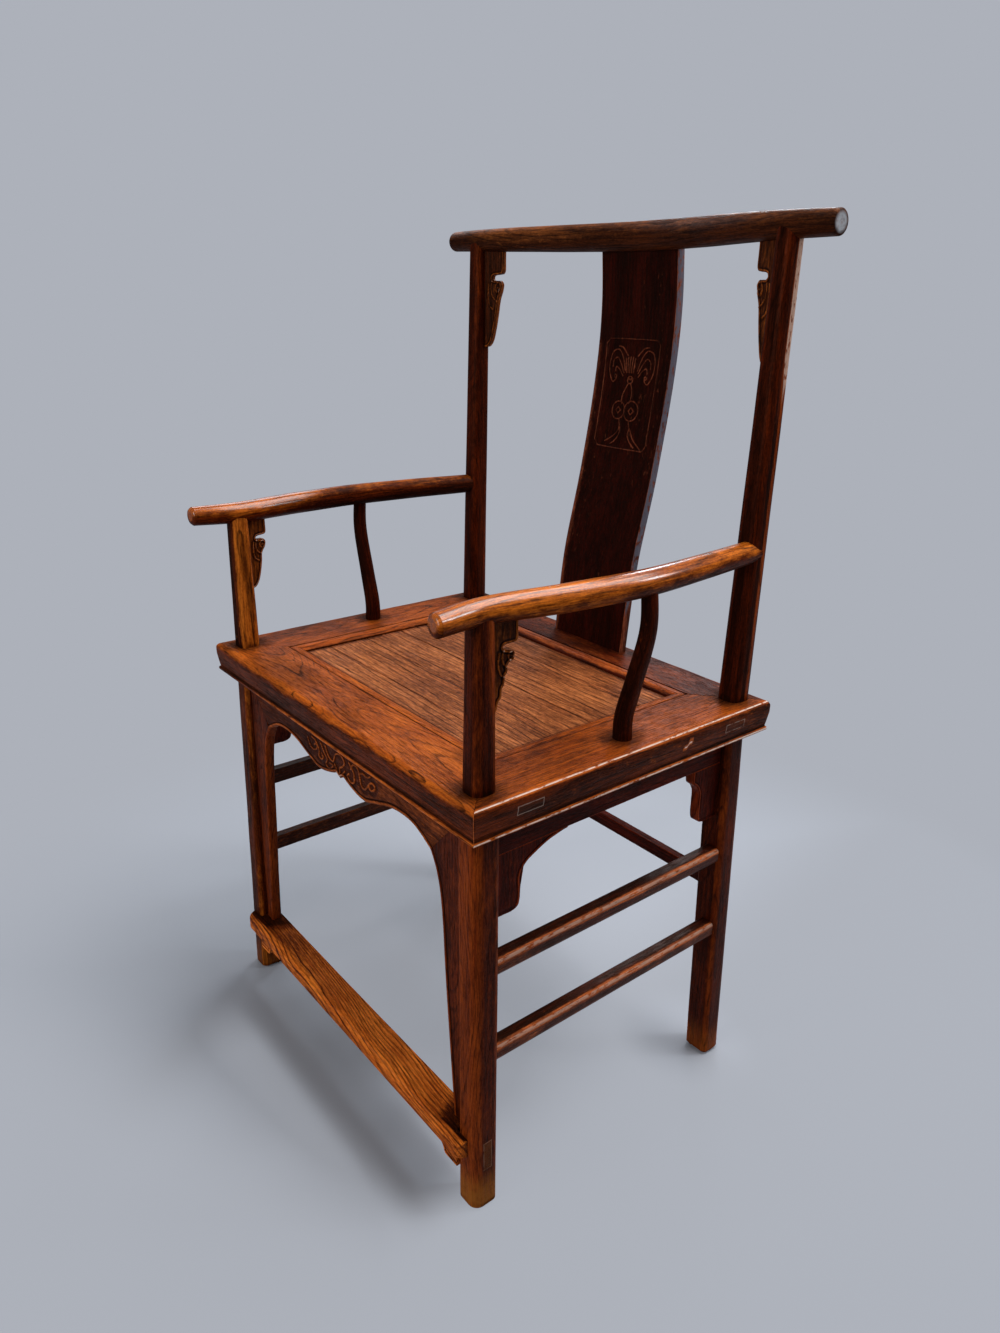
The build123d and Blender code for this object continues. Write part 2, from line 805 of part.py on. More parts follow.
inner_corners = [
    (opening_side, -opening_front),
    (opening_side, opening_rear),
    (-opening_side, opening_rear),
    (-opening_side, -opening_front),
]
outer_corners = [
    (half_width, -half_depth),
    (half_width, half_depth),
    (-half_width, half_depth),
    (-half_width, -half_depth),
]


def mitred(corner, length, profile):
    """One rail of the frame, mitred between a corner and the next, round from the front left."""
    after = (corner + 1) % 4
    with BuildPart() as rail:
        extrude(to_extrude=profile, amount=length, both=True)
        with BuildSketch(level(rail_bottom)):
            Polygon(
                outer_corners[corner], outer_corners[after],
                inner_corners[after], inner_corners[corner],
                align=None,
            )
        extrude(amount=rail_thick, mode=Mode.INTERSECT)
    return rail.part


front_section_plane = Plane(origin=at(0, -half_depth, 0), x_dir=(0, 1, 0), z_dir=(1, 0, 0))
rear_section_plane = Plane(origin=at(0, half_depth, 0), x_dir=(0, -1, 0), z_dir=(-1, 0, 0))
left_section_plane = Plane(origin=at(half_width, 0, 0), x_dir=(-1, 0, 0), z_dir=(0, 1, 0))

with BuildPart() as side_rail_blanks:
    add(mitred(0, half_depth, rail_profile(left_section_plane, side_rail_flat)))
    mirror(about=Plane.YZ)


def flush_tenons(inner_y):
    """Through tenons cut flush with the outer faces of the side rails."""
    with BuildPart() as pair:
        add(rail_tenon(inner_y))
        add(side_rail_blanks.part, mode=Mode.INTERSECT)
    return pair.part


with BuildPart() as seat_rail_front:
    add(mitred(3, half_width, rail_profile(front_section_plane, front_rail_flat)))
    add(flush_tenons(front_tenon_y))
    add(necks(joint_clearance), mode=Mode.SUBTRACT)
    add(panel_tongue(joint_clearance), mode=Mode.SUBTRACT)
    for side in (1, -1):
        add(batten(side, joint_clearance), mode=Mode.SUBTRACT)

with BuildPart() as seat_rail_rear:
    add(mitred(1, half_width, rail_profile(rear_section_plane, rear_rail_flat)))
    add(flush_tenons(rear_tenon_y))
    add(necks(joint_clearance), mode=Mode.SUBTRACT)
    add(panel_tongue(joint_clearance), mode=Mode.SUBTRACT)
    add(splat_foot_tongue(joint_clearance), mode=Mode.SUBTRACT)
    for side in (1, -1):
        add(batten(side, joint_clearance), mode=Mode.SUBTRACT)

with BuildPart() as seat_rail_left:
    add(mitred(0, half_depth, rail_profile(left_section_plane, side_rail_flat)))
    add(rail_tenon(front_tenon_y, joint_clearance), mode=Mode.SUBTRACT)
    add(rail_tenon(rear_tenon_y, joint_clearance), mode=Mode.SUBTRACT)
    add(necks(joint_clearance), mode=Mode.SUBTRACT)
    add(panel_tongue(joint_clearance), mode=Mode.SUBTRACT)
    add(strut_foot_peg(joint_clearance), mode=Mode.SUBTRACT)
seat_rail_right = mirrored(seat_rail_left)

with BuildPart() as seat_panel:
    add(panel_tongue())
    add(
        block(
            (-opening_side + panel_play, -opening_front + panel_play, panel_bottom),
            (opening_side - panel_play, opening_rear - panel_play, panel_top),
        )
    )
    for side in (1, -1):
        add(batten(side, joint_clearance), mode=Mode.SUBTRACT)

with BuildPart() as seat_batten_left:
    add(batten(1))
seat_batten_right = mirrored(seat_batten_left)

# ---- Front apron ------------------------------------------------------------------------------
mitre_top = (leg_out - leg_size / 2, rail_bottom)
mitre_foot = (apron_corner_out, apron_bottom - apron_corner_drop)
foot_edge = (leg_x(footrest_top) - leg_size / 2 - post_apron_foot_width, footrest_top)

with BuildPart() as front_apron:
    with BuildSketch(front_plane(front_apron_face)):
        with BuildLine():
            Polyline(
                (0, apron_bottom - pendant_drop),
                (pendant_half, apron_bottom - pendant_root_drop),
            )
            Spline(
                (pendant_half, apron_bottom - pendant_root_drop),
                (lobe_out, apron_bottom - lobe_drop),
                (arch_out, apron_bottom),
                mitre_foot,
                tangents=[(1, -0.3), (1, 0), (1, 0), (0.75, -1)],
            )
            Polyline(mitre_foot, mitre_top, (0, rail_bottom), (0, apron_bottom - pendant_drop))
        make_face()
        mirror(about=Plane.YZ)
    extrude(amount=-apron_thick)

with BuildPart() as front_apron_side_left:
    with BuildSketch(front_plane(front_apron_face)):
        with BuildLine():
            Spline(
                mitre_foot, post_apron_shoulder, post_apron_waist, foot_edge,
                tangents=[(0.75, -1), (0.13, -1), (0.07, -1), (0.09, -1)],
            )
            Polyline(
                foot_edge,
                (leg_x(0), footrest_top),
                (leg_x(0), rail_bottom),
                mitre_top,
                mitre_foot,
            )
        make_face()
    extrude(amount=-apron_thick)
    add(front_blank.part, mode=Mode.SUBTRACT)
    add(end_tongue(front_apron_face, *post_apron_tongue))
front_apron_side_right = mirrored(front_apron_side_left)

# ---- Side and rear aprons with their brackets ---------------------------------------------------
with BuildPart() as side_apron_left:
    add(
        block(
            (side_apron_face - apron_thick, -leg_end, apron_bottom),
            (side_apron_face, leg_end, rail_bottom),
        )
    )
    add(front_blank.part, mode=Mode.SUBTRACT)
    add(rear_blank.part, mode=Mode.SUBTRACT)
    add(side_tongue(-1, *side_apron_tongue))
    add(side_tongue(1, *side_apron_tongue))
side_apron_right = mirrored(side_apron_left)

leg_face = leg_end - leg_size / 2
bracket_edge = leg_face - bracket_width

with BuildPart() as side_bracket_front_left:
    with BuildSketch(side_plane(side_apron_face)):
        with BuildLine():
            Line(
                (-leg_face + front_bracket_reach, apron_bottom),
                (-leg_face + front_bracket_reach, apron_bottom - bracket_tip),
            )
            Spline(
                (-leg_face + front_bracket_reach, apron_bottom - bracket_tip),
                (-bracket_edge, apron_bottom - bracket_shoulder),
                tangents=[(-1, 0), (0, -1)],
            )
            Line(
                (-bracket_edge, apron_bottom - bracket_shoulder),
                (-bracket_edge, bracket_bottom + bracket_foot_round),
            )
            RadiusArc(
                (-bracket_edge, bracket_bottom + bracket_foot_round),
                (-bracket_edge - bracket_foot_round, bracket_bottom),
                bracket_foot_round,
            )
            Polyline(
                (-bracket_edge - bracket_foot_round, bracket_bottom),
                (-leg_end, bracket_bottom),
                (-leg_end, apron_bottom),
                (-leg_face + front_bracket_reach, apron_bottom),
            )
        make_face()
    extrude(amount=-apron_thick)
    add(front_blank.part, mode=Mode.SUBTRACT)
    add(side_tongue(-1, *bracket_tongue))
side_bracket_front_right = mirrored(side_bracket_front_left)

rear_bracket_edge = leg_face - rear_bracket_reach

with BuildPart() as side_bracket_rear_left:
    with BuildSketch(side_plane(side_apron_face)):
        with BuildLine():
            Line(
                (rear_bracket_edge, apron_bottom),
                (rear_bracket_edge, apron_bottom - rear_bracket_cusp),
            )
            Spline(
                (rear_bracket_edge, apron_bottom - rear_bracket_cusp),
                (bracket_edge, apron_bottom - rear_bracket_cusp - bracket_shoulder),
                tangents=[(0, -1), (0, -1)],
            )
            Line(
                (bracket_edge, apron_bottom - rear_bracket_cusp - bracket_shoulder),
                (bracket_edge, bracket_bottom + bracket_foot_round),
            )
            RadiusArc(
                (bracket_edge, bracket_bottom + bracket_foot_round),
                (bracket_edge + bracket_foot_round, bracket_bottom),
                -bracket_foot_round,
            )
            Polyline(
                (bracket_edge + bracket_foot_round, bracket_bottom),
                (leg_end, bracket_bottom),
                (leg_end, apron_bottom),
                (rear_bracket_edge, apron_bottom),
            )
        make_face()
    extrude(amount=-apron_thick)
    add(rear_blank.part, mode=Mode.SUBTRACT)
    add(side_tongue(1, *bracket_tongue))
side_bracket_rear_right = mirrored(side_bracket_rear_left)

with BuildPart() as rear_apron:
    add(
        block(
            (0, rear_apron_face - apron_thick, apron_bottom),
            (leg_out, rear_apron_face, rail_bottom),
        )
    )
    add(rear_blank.part, mode=Mode.SUBTRACT)
    add(end_tongue(rear_apron_face, *side_apron_tongue))
    mirror(about=Plane.YZ)

with BuildPart() as rear_bracket_left:
    inner_face = leg_out - leg_size / 2
    with BuildSketch(front_plane(rear_apron_face - apron_thick)):
        with BuildLine():
            Line(
                (inner_face - end_bracket_reach, apron_bottom),
                (inner_face - end_bracket_reach, apron_bottom - bracket_tip),
            )
            Spline(
                (inner_face - end_bracket_reach, apron_bottom - bracket_tip),
                (inner_face - bracket_foot_round, bracket_bottom),
                tangents=[(1, 0), (0, -1)],
            )
            Polyline(
                (inner_face - bracket_foot_round, bracket_bottom),
                (leg_out, bracket_bottom),
                (leg_out, apron_bottom),
                (inner_face - end_bracket_reach, apron_bottom),
            )
        make_face()
    extrude(amount=-apron_thick)
    add(rear_blank.part, mode=Mode.SUBTRACT)
    add(end_tongue(rear_apron_face, *bracket_tongue))
rear_bracket_right = mirrored(rear_bracket_left)

# ---- Footrest -----------------------------------------------------------------------------------
lip_bottom = footrest_top - footrest_lip_thick

with BuildPart() as footrest_flush_tenons:
    add(footrest_tenon())
    add(front_blank.part, mode=Mode.INTERSECT)
    mirror(about=Plane.YZ)

with BuildPart() as footrest:
    with BuildSketch(level(lip_bottom)):
        with BuildLine():
            Polyline(
                (-footrest_half_length, -leg_end),
                (-footrest_half_length, -footrest_reach),
                (footrest_half_length, -footrest_reach),
                (footrest_half_length, -leg_end),
            )
            Polyline(
                (footrest_half_length, -leg_end),
                (leg_out, -leg_end),
                (leg_out, -footrest_back),
                (-leg_out, -footrest_back),
                (-leg_out, -leg_end),
                (-footrest_half_length, -leg_end),
            )
        make_face()
    extrude(amount=footrest_lip_thick)
    fillet(edges().filter_by(Axis.Z).group_by(Axis.Y)[0], footrest_end_round)
    fillet(edges().group_by(Axis.Z)[-1].group_by(Axis.Y)[0], footrest_wear_round)
    add(
        block(
            (-leg_out, -footrest_back - footrest_stem, footrest_stem_bottom),
            (leg_out, -footrest_back, footrest_top),
        )
    )
    add(front_blank.part, mode=Mode.SUBTRACT)
    add(mirrored(front_blank).part, mode=Mode.SUBTRACT)
    add(footrest_flush_tenons.part)

with BuildPart() as footrest_apron:
    apron_face = -(footrest_back + footrest_stem)
    inner_face = leg_x(lip_bottom) - leg_size / 2
    with BuildSketch(front_plane(apron_face)):
        with BuildLine():
            Line((0, lip_bottom), (0, lip_bottom - footrest_apron_mid))
            Line(
                (0, lip_bottom - footrest_apron_mid),
                (inner_face - 2 * footrest_apron_foot, lip_bottom - footrest_apron_mid),
            )
            Spline(
                (inner_face - 2 * footrest_apron_foot, lip_bottom - footrest_apron_mid),
                (inner_face - footrest_apron_foot, lip_bottom - footrest_apron_end),
                tangents=[(1, 0), (0.2, -1)],
            )
            Polyline(
                (inner_face - footrest_apron_foot, lip_bottom - footrest_apron_end),
                (leg_x(0), lip_bottom - footrest_apron_end),
                (leg_x(0), lip_bottom),
                (0, lip_bottom),
            )
        make_face()
    extrude(amount=footrest_apron_thick)
    add(front_blank.part, mode=Mode.SUBTRACT)
    split(bisect_by=Plane.YZ.offset(leg_out), keep=Keep.BOTTOM)
    mirror(about=Plane.YZ)

# ---- Stretchers -----------------------------------------------------------------------------------
def side_stretcher(z):
    """Stretcher along a side of the chair, its outer edges well rounded."""
    x = side_stretcher_x(z)
    with BuildPart() as piece:
        add(
            block(
                (x - stretcher_width / 2, -leg_y(z), z - stretcher_height / 2),
                (x + stretcher_width / 2, leg_y(z), z + stretcher_height / 2),
            )
        )
        fillet(piece.edges().filter_by(Axis.Y).group_by(Axis.X)[-1], stretcher_round)
        add(front_blank.part, mode=Mode.SUBTRACT)
        add(rear_blank.part, mode=Mode.SUBTRACT)
        add(side_stretcher_tenon(z, -1))
        add(side_stretcher_tenon(z, 1))
    return piece


side_stretcher_upper_left = side_stretcher(upper_stretcher_level)
side_stretcher_upper_right = mirrored(side_stretcher_upper_left)
side_stretcher_lower_left = side_stretcher(lower_stretcher_level)
side_stretcher_lower_right = mirrored(side_stretcher_lower_left)

with BuildPart() as rear_stretcher:
    add(
        block(
            (
                0,
                rear_stretcher_y - rear_stretcher_width / 2,
                rear_stretcher_level - rear_stretcher_height / 2,
            ),
            (
                leg_x(rear_stretcher_level),
                rear_stretcher_y + rear_stretcher_width / 2,
                rear_stretcher_level + rear_stretcher_height / 2,
            ),
        )
    )
    fillet(edges().filter_by(Axis.X).group_by(Axis.Y)[-1], rear_stretcher_round)
    add(rear_blank.part, mode=Mode.SUBTRACT)
    add(rear_stretcher_tenon())
    mirror(about=Plane.YZ)

# ---- Finished pieces ---------------------------------------------------------------------------
pieces = {
    "front_post_left": front_post_left,
    "front_post_right": front_post_right,
    "rear_post_left": rear_post_left,
    "rear_post_right": rear_post_right,
    "crest_rail": crest_rail,
    "back_splat": back_splat,
    "arm_rail_left": arm_rail_left,
    "arm_rail_right": arm_rail_right,
    "arm_strut_left": arm_strut_left,
    "arm_strut_right": arm_strut_right,
    "crest_spandrel_left": crest_spandrel_left,
    "crest_spandrel_right": crest_spandrel_right,
    "arm_spandrel_left": arm_spandrel_left,
    "arm_spandrel_right": arm_spandrel_right,
    "seat_rail_front": seat_rail_front,
    "seat_rail_rear": seat_rail_rear,
    "seat_rail_left": seat_rail_left,
    "seat_rail_right": seat_rail_right,
    "seat_panel": seat_panel,
    "seat_batten_left": seat_batten_left,
    "seat_batten_right": seat_batten_right,
    "front_apron": front_apron,
    "front_apron_side_left": front_apron_side_left,
    "front_apron_side_right": front_apron_side_right,
    "side_apron_left": side_apron_left,
    "side_apron_right": side_apron_right,
    "side_bracket_front_left": side_bracket_front_left,
    "side_bracket_front_right": side_bracket_front_right,
    "side_bracket_rear_left": side_bracket_rear_left,
    "side_bracket_rear_right": side_bracket_rear_right,
    "rear_apron": rear_apron,
    "rear_bracket_left": rear_bracket_left,
    "rear_bracket_right": rear_bracket_right,
    "footrest": footrest,
    "footrest_apron": footrest_apron,
    "side_stretcher_upper_left": side_stretcher_upper_left,
    "side_stretcher_upper_right": side_stretcher_upper_right,
    "side_stretcher_lower_left": side_stretcher_lower_left,
    "side_stretcher_lower_right": side_stretcher_lower_right,
    "rear_stretcher": rear_stretcher,
}

for name, piece in pieces.items():
    piece.part.label = name
    export_step(piece.part, f"parts/{name}.step")
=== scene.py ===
"""The looks of the official's hat armchair: old dark-lacquered elm, worn golden where hands and feet rub."""
import math

import bpy
import numpy as np
from mathutils import Matrix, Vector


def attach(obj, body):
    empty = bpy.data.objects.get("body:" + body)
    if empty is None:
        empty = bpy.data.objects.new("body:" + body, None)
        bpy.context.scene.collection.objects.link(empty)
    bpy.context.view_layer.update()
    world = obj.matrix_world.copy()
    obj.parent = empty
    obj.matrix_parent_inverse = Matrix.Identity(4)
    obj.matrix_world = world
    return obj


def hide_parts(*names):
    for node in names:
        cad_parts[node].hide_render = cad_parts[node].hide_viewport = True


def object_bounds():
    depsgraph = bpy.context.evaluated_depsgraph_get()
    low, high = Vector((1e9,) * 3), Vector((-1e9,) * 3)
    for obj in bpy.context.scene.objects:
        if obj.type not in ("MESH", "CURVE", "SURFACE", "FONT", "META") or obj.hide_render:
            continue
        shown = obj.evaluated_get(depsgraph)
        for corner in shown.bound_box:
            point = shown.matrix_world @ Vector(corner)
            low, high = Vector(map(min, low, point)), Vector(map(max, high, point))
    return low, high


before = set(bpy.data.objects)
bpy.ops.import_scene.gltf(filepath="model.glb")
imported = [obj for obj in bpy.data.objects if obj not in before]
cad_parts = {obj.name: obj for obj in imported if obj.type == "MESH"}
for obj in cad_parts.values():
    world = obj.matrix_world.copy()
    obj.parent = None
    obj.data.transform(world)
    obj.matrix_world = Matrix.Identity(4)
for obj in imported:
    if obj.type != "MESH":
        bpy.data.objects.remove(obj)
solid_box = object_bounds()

# ---- Sizes in millimetres, measured from the middle of the seat and from the floor ----
seat_middle = -10.425
half_width, half_depth, seat_top, seat_under = 295.0, 225.0, 526.0, 487.0
inner_side, inner_front, inner_rear = 204.0, 137.0, 143.0
leg_size, leg_out, leg_end = 33.5, 260.25, 192.25
splay_side, splay_end = 9.5, 5.5
post_out, front_post, rear_post = 261.45, -193.25, 194.15
rear_head_out, rear_head = 264.25, 204.35
arm_height, crest_height = 708.3, 1051.5
panel_top = 519.5
apron_front, apron_thick, apron_bottom = -203.0, 12.0, 446.0
apron_side = 266.0
strut_out, strut_place = 260.5, 5.0
crest_half, apron_reach, stretcher_rear = 322.5, 243.3, 201.66
footrest_top, lip_under, stem_under = 98.0, 75.0, 53.0
footrest_front, footrest_end, tip_round, between_legs = -226.0, 271.0, 9.0, 250.9
mm = 0.001  # in metres
cap_rub = 0.3  # how far the ends of every timber are rubbed


# ---- Making meshes ----
def wander(points, size, amount, seed):
    """Slow hand-made unevenness: a smooth offset for each point, in millimetres."""
    draw = np.random.default_rng(seed)
    total = np.zeros(points.shape)
    waves = 7
    for _ in range(waves):
        way = draw.normal(size=3)
        way *= 2 * math.pi / (size * draw.uniform(0.6, 1.8) * np.linalg.norm(way))
        phase = draw.uniform(0, 2 * math.pi, 3)
        total += np.sin((points @ way)[..., None] + phase)
    return total * amount / waves


def smooth(edge_0, edge_1, x):
    """From 0 at the first edge to 1 at the second, with no corner."""
    t = np.clip((x - edge_0) / (edge_1 - edge_0), 0, 1)
    return t * t * (3 - 2 * t)


def curve_through(points, count=36):
    """Points along a smooth line through the given ones (centripetal Catmull-Rom)."""
    p = np.asarray(points, float)
    p = np.vstack([2 * p[0] - p[1], p, 2 * p[-1] - p[-2]])
    step = np.linalg.norm(np.diff(p, axis=0), axis=1) ** 0.5
    knot = np.concatenate([[0], np.cumsum(np.maximum(step, 1e-6))])

    def between(t, first, last, a, b):
        return ((last - t) * a + (t - first) * b) / (last - first)

    out = []
    for t in np.linspace(knot[1], knot[-2], count):
        i = min(max(np.searchsorted(knot, t, side="right") - 1, 1), len(p) - 3)
        k = knot[i - 1:i + 3]
        a = [between(t, k[n], k[n + 1], p[i - 1 + n], p[i + n]) for n in range(3)]
        b = [between(t, k[n], k[n + 2], a[n], a[n + 1]) for n in range(2)]
        out.append(between(t, k[1], k[2], *b))
    return np.array(out)


def line_at(x, y, z):
    """A line of points from three runs of numbers, where one number stands for a whole run."""
    return np.stack(np.broadcast_arrays(x, y, z), -1).astype(float)


def mirror_x(points, side):
    return np.asarray(points, float) * np.array([side, 1, 1])


def unit(ways):
    return ways / np.linalg.norm(ways, axis=-1, keepdims=True)


def with_ends(rows, head, tail):
    """Repeats the first and the last row for the rings that ease_ends adds."""
    return np.concatenate([rows[:1]] * head + [rows] + [rows[-1:]] * tail)


def section(width, height, rounds):
    """A rounded rectangle as a ring of (u, v) points, with how exposed each is to wear.

    rounds are the corner radii from +u+v round to -u+v, -u-v and +u-v."""
    corners = ((1, 1), (-1, 1), (-1, -1), (1, -1))
    arc_steps, side_steps = 6, 5

    def on_corner(corner, angle):
        (su, sv), r = corners[corner % 4], rounds[corner % 4]
        middle = np.array((su * (width / 2 - r), sv * (height / 2 - r)))
        return middle + r * np.array((math.cos(angle), math.sin(angle)))

    ring, worn = [], []
    for corner in range(4):
        start, end = corner * math.pi / 2, (corner + 1) * math.pi / 2
        for share in np.linspace(0, 1, arc_steps + 1):
            ring.append(on_corner(corner, start + share * math.pi / 2))
            worn.append(max(math.sin(math.pi * share), 0.0) ** 0.6)
        from_here, to_next = ring[-1], on_corner(corner + 1, end)
        for share in np.arange(1, side_steps + 1) / (side_steps + 1):
            ring.append(from_here + (to_next - from_here) * share)
            worn.append(0.0)
    return np.array(ring), np.array(worn)


def ease_ends(rings, radius, steps=3, ends=(True, True)):
    """Rounds the arrises at the ends of a stack of rings."""
    stack = list(rings)
    for last in (False, True):
        if not ends[last]:
            continue
        ring, inner = (stack[-1], stack[-2]) if last else (stack[0], stack[1])
        along = ring.mean(0) - inner.mean(0)
        along /= np.linalg.norm(along)
        inward = np.cross(along, np.roll(ring, -1, 0) - np.roll(ring, 1, 0))
        inward -= np.outer(inward @ along, along)
        inward /= np.maximum(np.linalg.norm(inward, axis=1), 1e-9)[:, None]
        if np.sum((ring.mean(0) - ring) * inward) < 0:
            inward = -inward
        made = [
            ring + inward * radius * (1 - math.cos(a)) - along * radius * (1 - math.sin(a))
            for a in np.linspace(0, math.pi / 2, steps + 1)
        ]
        stack = stack[:-1] + made if last else made[::-1] + stack[1:]
    return np.array(stack)


def timber(name, rings, grain, worn, finish, cap=1.0, face=0.0, foot_scuff=0.0, extra=False):
    """One piece of wood from a stack of closed rings.

    grain holds, for each point, its place in the plank: along, across and through.  worn
    says how rubbed each point is, below 0 for a dirty hollow; on some pieces it also carries
    painted shade below 0, and painted highlights and a painted reflection above 1.  cap and
    face say how much end grain the two ends and the long faces show, and foot_scuff how far
    the last of it near the floor is scuffed.  An extra piece stands for no solid of its own."""
    count, around = rings.shape[:2]
    points = rings.reshape(-1, 3)
    grain = np.broadcast_to(grain, rings.shape).reshape(-1, 3)
    worn = np.broadcast_to(worn, rings.shape[:2]).reshape(-1)
    i = np.arange(count - 1)[:, None] * around
    j = np.arange(around)[None, :]
    k = (j + 1) % around
    faces = np.stack([i + j, i + k, i + around + k, i + around + j], -1).reshape(-1, 4).tolist()
    more, more_grain = [], []
    for last, base in ((False, 0), (True, (count - 1) * around)):
        # a closing patch: two smaller rings and a middle point
        rim, rim_grain = points[base:base + around], grain[base:base + around]
        edge = range(base, base + around)
        for share in (0.66, 0.33, 0):
            start = count * around + len(more)
            here = range(start, start + around)
            ring = rim.mean(0) + (rim - rim.mean(0)) * share
            ring_grain = rim_grain.mean(0) + (rim_grain - rim_grain.mean(0)) * share
            more.extend(ring if share else ring[:1])
            more_grain.extend(ring_grain if share else ring_grain[:1])
            for n in range(around):
                m = (n + 1) % around
                patch = [edge[n], edge[m], here[m], here[n]] if share else [edge[n], edge[m], start]
                faces.append(patch if last else patch[::-1])
            edge = here
    end_grain = np.concatenate([np.full(len(points), face), np.full(len(more), cap)])
    worn = np.concatenate([worn, np.full(len(more), cap_rub)])
    points, grain = np.vstack([points, more]), np.vstack([grain, more_grain])
    end_grain = np.maximum(end_grain, foot_scuff * smooth(62, 18, points[:, 2]))
    return finished(name, points, faces, grain, worn, end_grain, finish, extra)


def finished(name, points, faces, grain, worn, end_grain, finish, extra):
    """Makes the mesh and lays it over the solid of that name, unless it is an extra piece."""
    title = name if extra else name + "_wood"
    mesh = bpy.data.meshes.new(title)
    place = points * mm
    place[:, 1] += seat_middle * mm
    mesh.from_pydata(np.clip(place, *solid_box).tolist(), [], faces)
    mesh.validate()
    for values_name, kind, key, values in (
        ("plank", "FLOAT_VECTOR", "vector", grain * mm),
        ("worn", "FLOAT", "value", worn),
        ("end_grain", "FLOAT", "value", end_grain),
    ):
        attribute = mesh.attributes.new(values_name, kind, "POINT")
        attribute.data.foreach_set(key, np.asarray(values, np.float32).ravel())
    mesh.shade_smooth()
    mesh.set_sharp_from_angle(angle=math.radians(50))
    mesh.materials.append(finish)
    piece = bpy.data.objects.new(title, mesh)
    bpy.context.scene.collection.objects.link(piece)
    outward(mesh)
    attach(piece, "root")
    if not extra:
        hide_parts(name)
    return piece


def outward(mesh):
    """Turns the faces to look outward if the piece was wound the other way."""
    mesh.calc_loop_triangles()
    place = np.zeros(len(mesh.vertices) * 3)
    mesh.vertices.foreach_get("co", place)
    place = place.reshape(-1, 3) - place.reshape(-1, 3).mean(0)
    corners = np.zeros(len(mesh.loop_triangles) * 3, int)
    mesh.loop_triangles.foreach_get("vertices", corners)
    a, b, c = place[corners.reshape(-1, 3).T]
    if np.sum(a * np.cross(b, c)) < 0:
        mesh.flip_normals()


def grain_along(rings, axis, shift):
    """Plank places for a straight timber: axis says which of x, y and z run along, across, through."""
    return rings[..., list(axis)] + np.array(shift)


def both(maker, *args):
    """Makes the left piece and its right-hand twin."""
    for side, word in ((1, "left"), (-1, "right")):
        maker(side, word, *args)


# ---- Camera ----
lens = bpy.data.cameras.new("camera")
lens.sensor_width = 36
lens.lens = 25.824
lens.shift_x = -0.01116
lens.shift_y = -0.00437
lens.clip_end = 60
camera = bpy.data.objects.new("camera", lens)
bpy.context.scene.collection.objects.link(camera)
camera.matrix_world = Matrix((
    (0.63188, -0.28420, 0.72107, 0.9196),
    (0.77486, 0.20990, -0.59626, -0.7055),
    (0.01811, 0.93550, 0.35288, 0.9736),
    (0, 0, 0, 1),
))
bpy.context.scene.camera = camera


# ---- Finishes ----
def paint(red, green, blue):
    """A colour given in everyday 0-255 values."""
    def linear(c):
        c /= 255
        return c / 12.92 if c <= 0.04045 else ((c + 0.055) / 1.055) ** 2.4
    return (linear(red), linear(green), linear(blue), 1.0)


class Bench:
    """Places the nodes of a finish and joins them."""

    def __init__(self, tree):
        self.tree = tree

    def add(self, kind, **settings):
        node = self.tree.nodes.new(kind)
        inputs = settings.pop("inputs", {})
        for key, value in settings.items():
            setattr(node, key, value)
        for key, value in inputs.items():
            self.feed(node.inputs[key], value)
        return node

    def feed(self, socket, value):
        if isinstance(value, bpy.types.NodeSocket):
            self.tree.links.new(value, socket)
        else:
            socket.default_value = value

    def math(self, operation, a, b=0.0, c=0.0):
        node = self.add("ShaderNodeMath", operation=operation)
        for socket, value in zip(node.inputs, (a, b, c)):
            self.feed(socket, value)
        return node.outputs[0]

    def times(self, a, b):
        return self.math("MULTIPLY", a, b)

    def plus(self, a, b):
        return self.math("ADD", a, b)

    def less(self, a, b):
        return self.math("SUBTRACT", a, b)

    def most(self, a, b):
        return self.math("MAXIMUM", a, b)

    def vector(self, operation, a, b=(0, 0, 0)):
        node = self.add("ShaderNodeVectorMath", operation=operation)
        self.feed(node.inputs[0], a)
        self.feed(node.inputs[1], b)
        return node.outputs["Value" if operation in ("LENGTH", "DOT_PRODUCT") else "Vector"]

    def stretch(self, vector, scale):
        return self.vector("MULTIPLY", vector, scale)

    def apart(self, vector, origin):
        return self.vector("SUBTRACT", vector, origin)

    def split(self, vector):
        return self.add("ShaderNodeSeparateXYZ", inputs={"Vector": vector}).outputs

    def joined(self, x, y, z):
        return self.add("ShaderNodeCombineXYZ", inputs={"X": x, "Y": y, "Z": z}).outputs[0]

    def effect(self, shared, inputs):
        return self.add("ShaderNodeGroup", node_tree=shared, inputs=inputs).outputs

    def mark(self, name, socket="Fac"):
        """One of the values that every mesh carries."""
        return self.add("ShaderNodeAttribute", attribute_name=name).outputs[socket]

    def noise(self, vector, scale, detail=3.0, rough=0.55):
        node = self.add("ShaderNodeTexNoise", inputs={
            "Vector": vector, "Scale": scale, "Detail": detail, "Roughness": rough, "Distortion": 0.0,
        })
        return node.outputs["Fac"]

    def uneven(self, amount, vector, scale, detail=3.0, rough=0.55):
        """A noise that goes by the amount to both sides of nought."""
        return self.times(self.less(self.noise(vector, scale, detail, rough), 0.5), amount)

    def band(self, value, low, high, to_low=0.0, to_high=1.0):
        node = self.add("ShaderNodeMapRange", interpolation_type="SMOOTHSTEP", inputs={
            "Value": value, "From Min": low, "From Max": high, "To Min": to_low, "To Max": to_high,
        })
        return node.outputs[0]

    def mix(self, share, a, b):
        node = self.add("ShaderNodeMix", data_type="RGBA", clamp_factor=True)
        for socket, value in ((0, share), (6, a), (7, b)):
            self.feed(node.inputs[socket], value)
        return node.outputs[2]


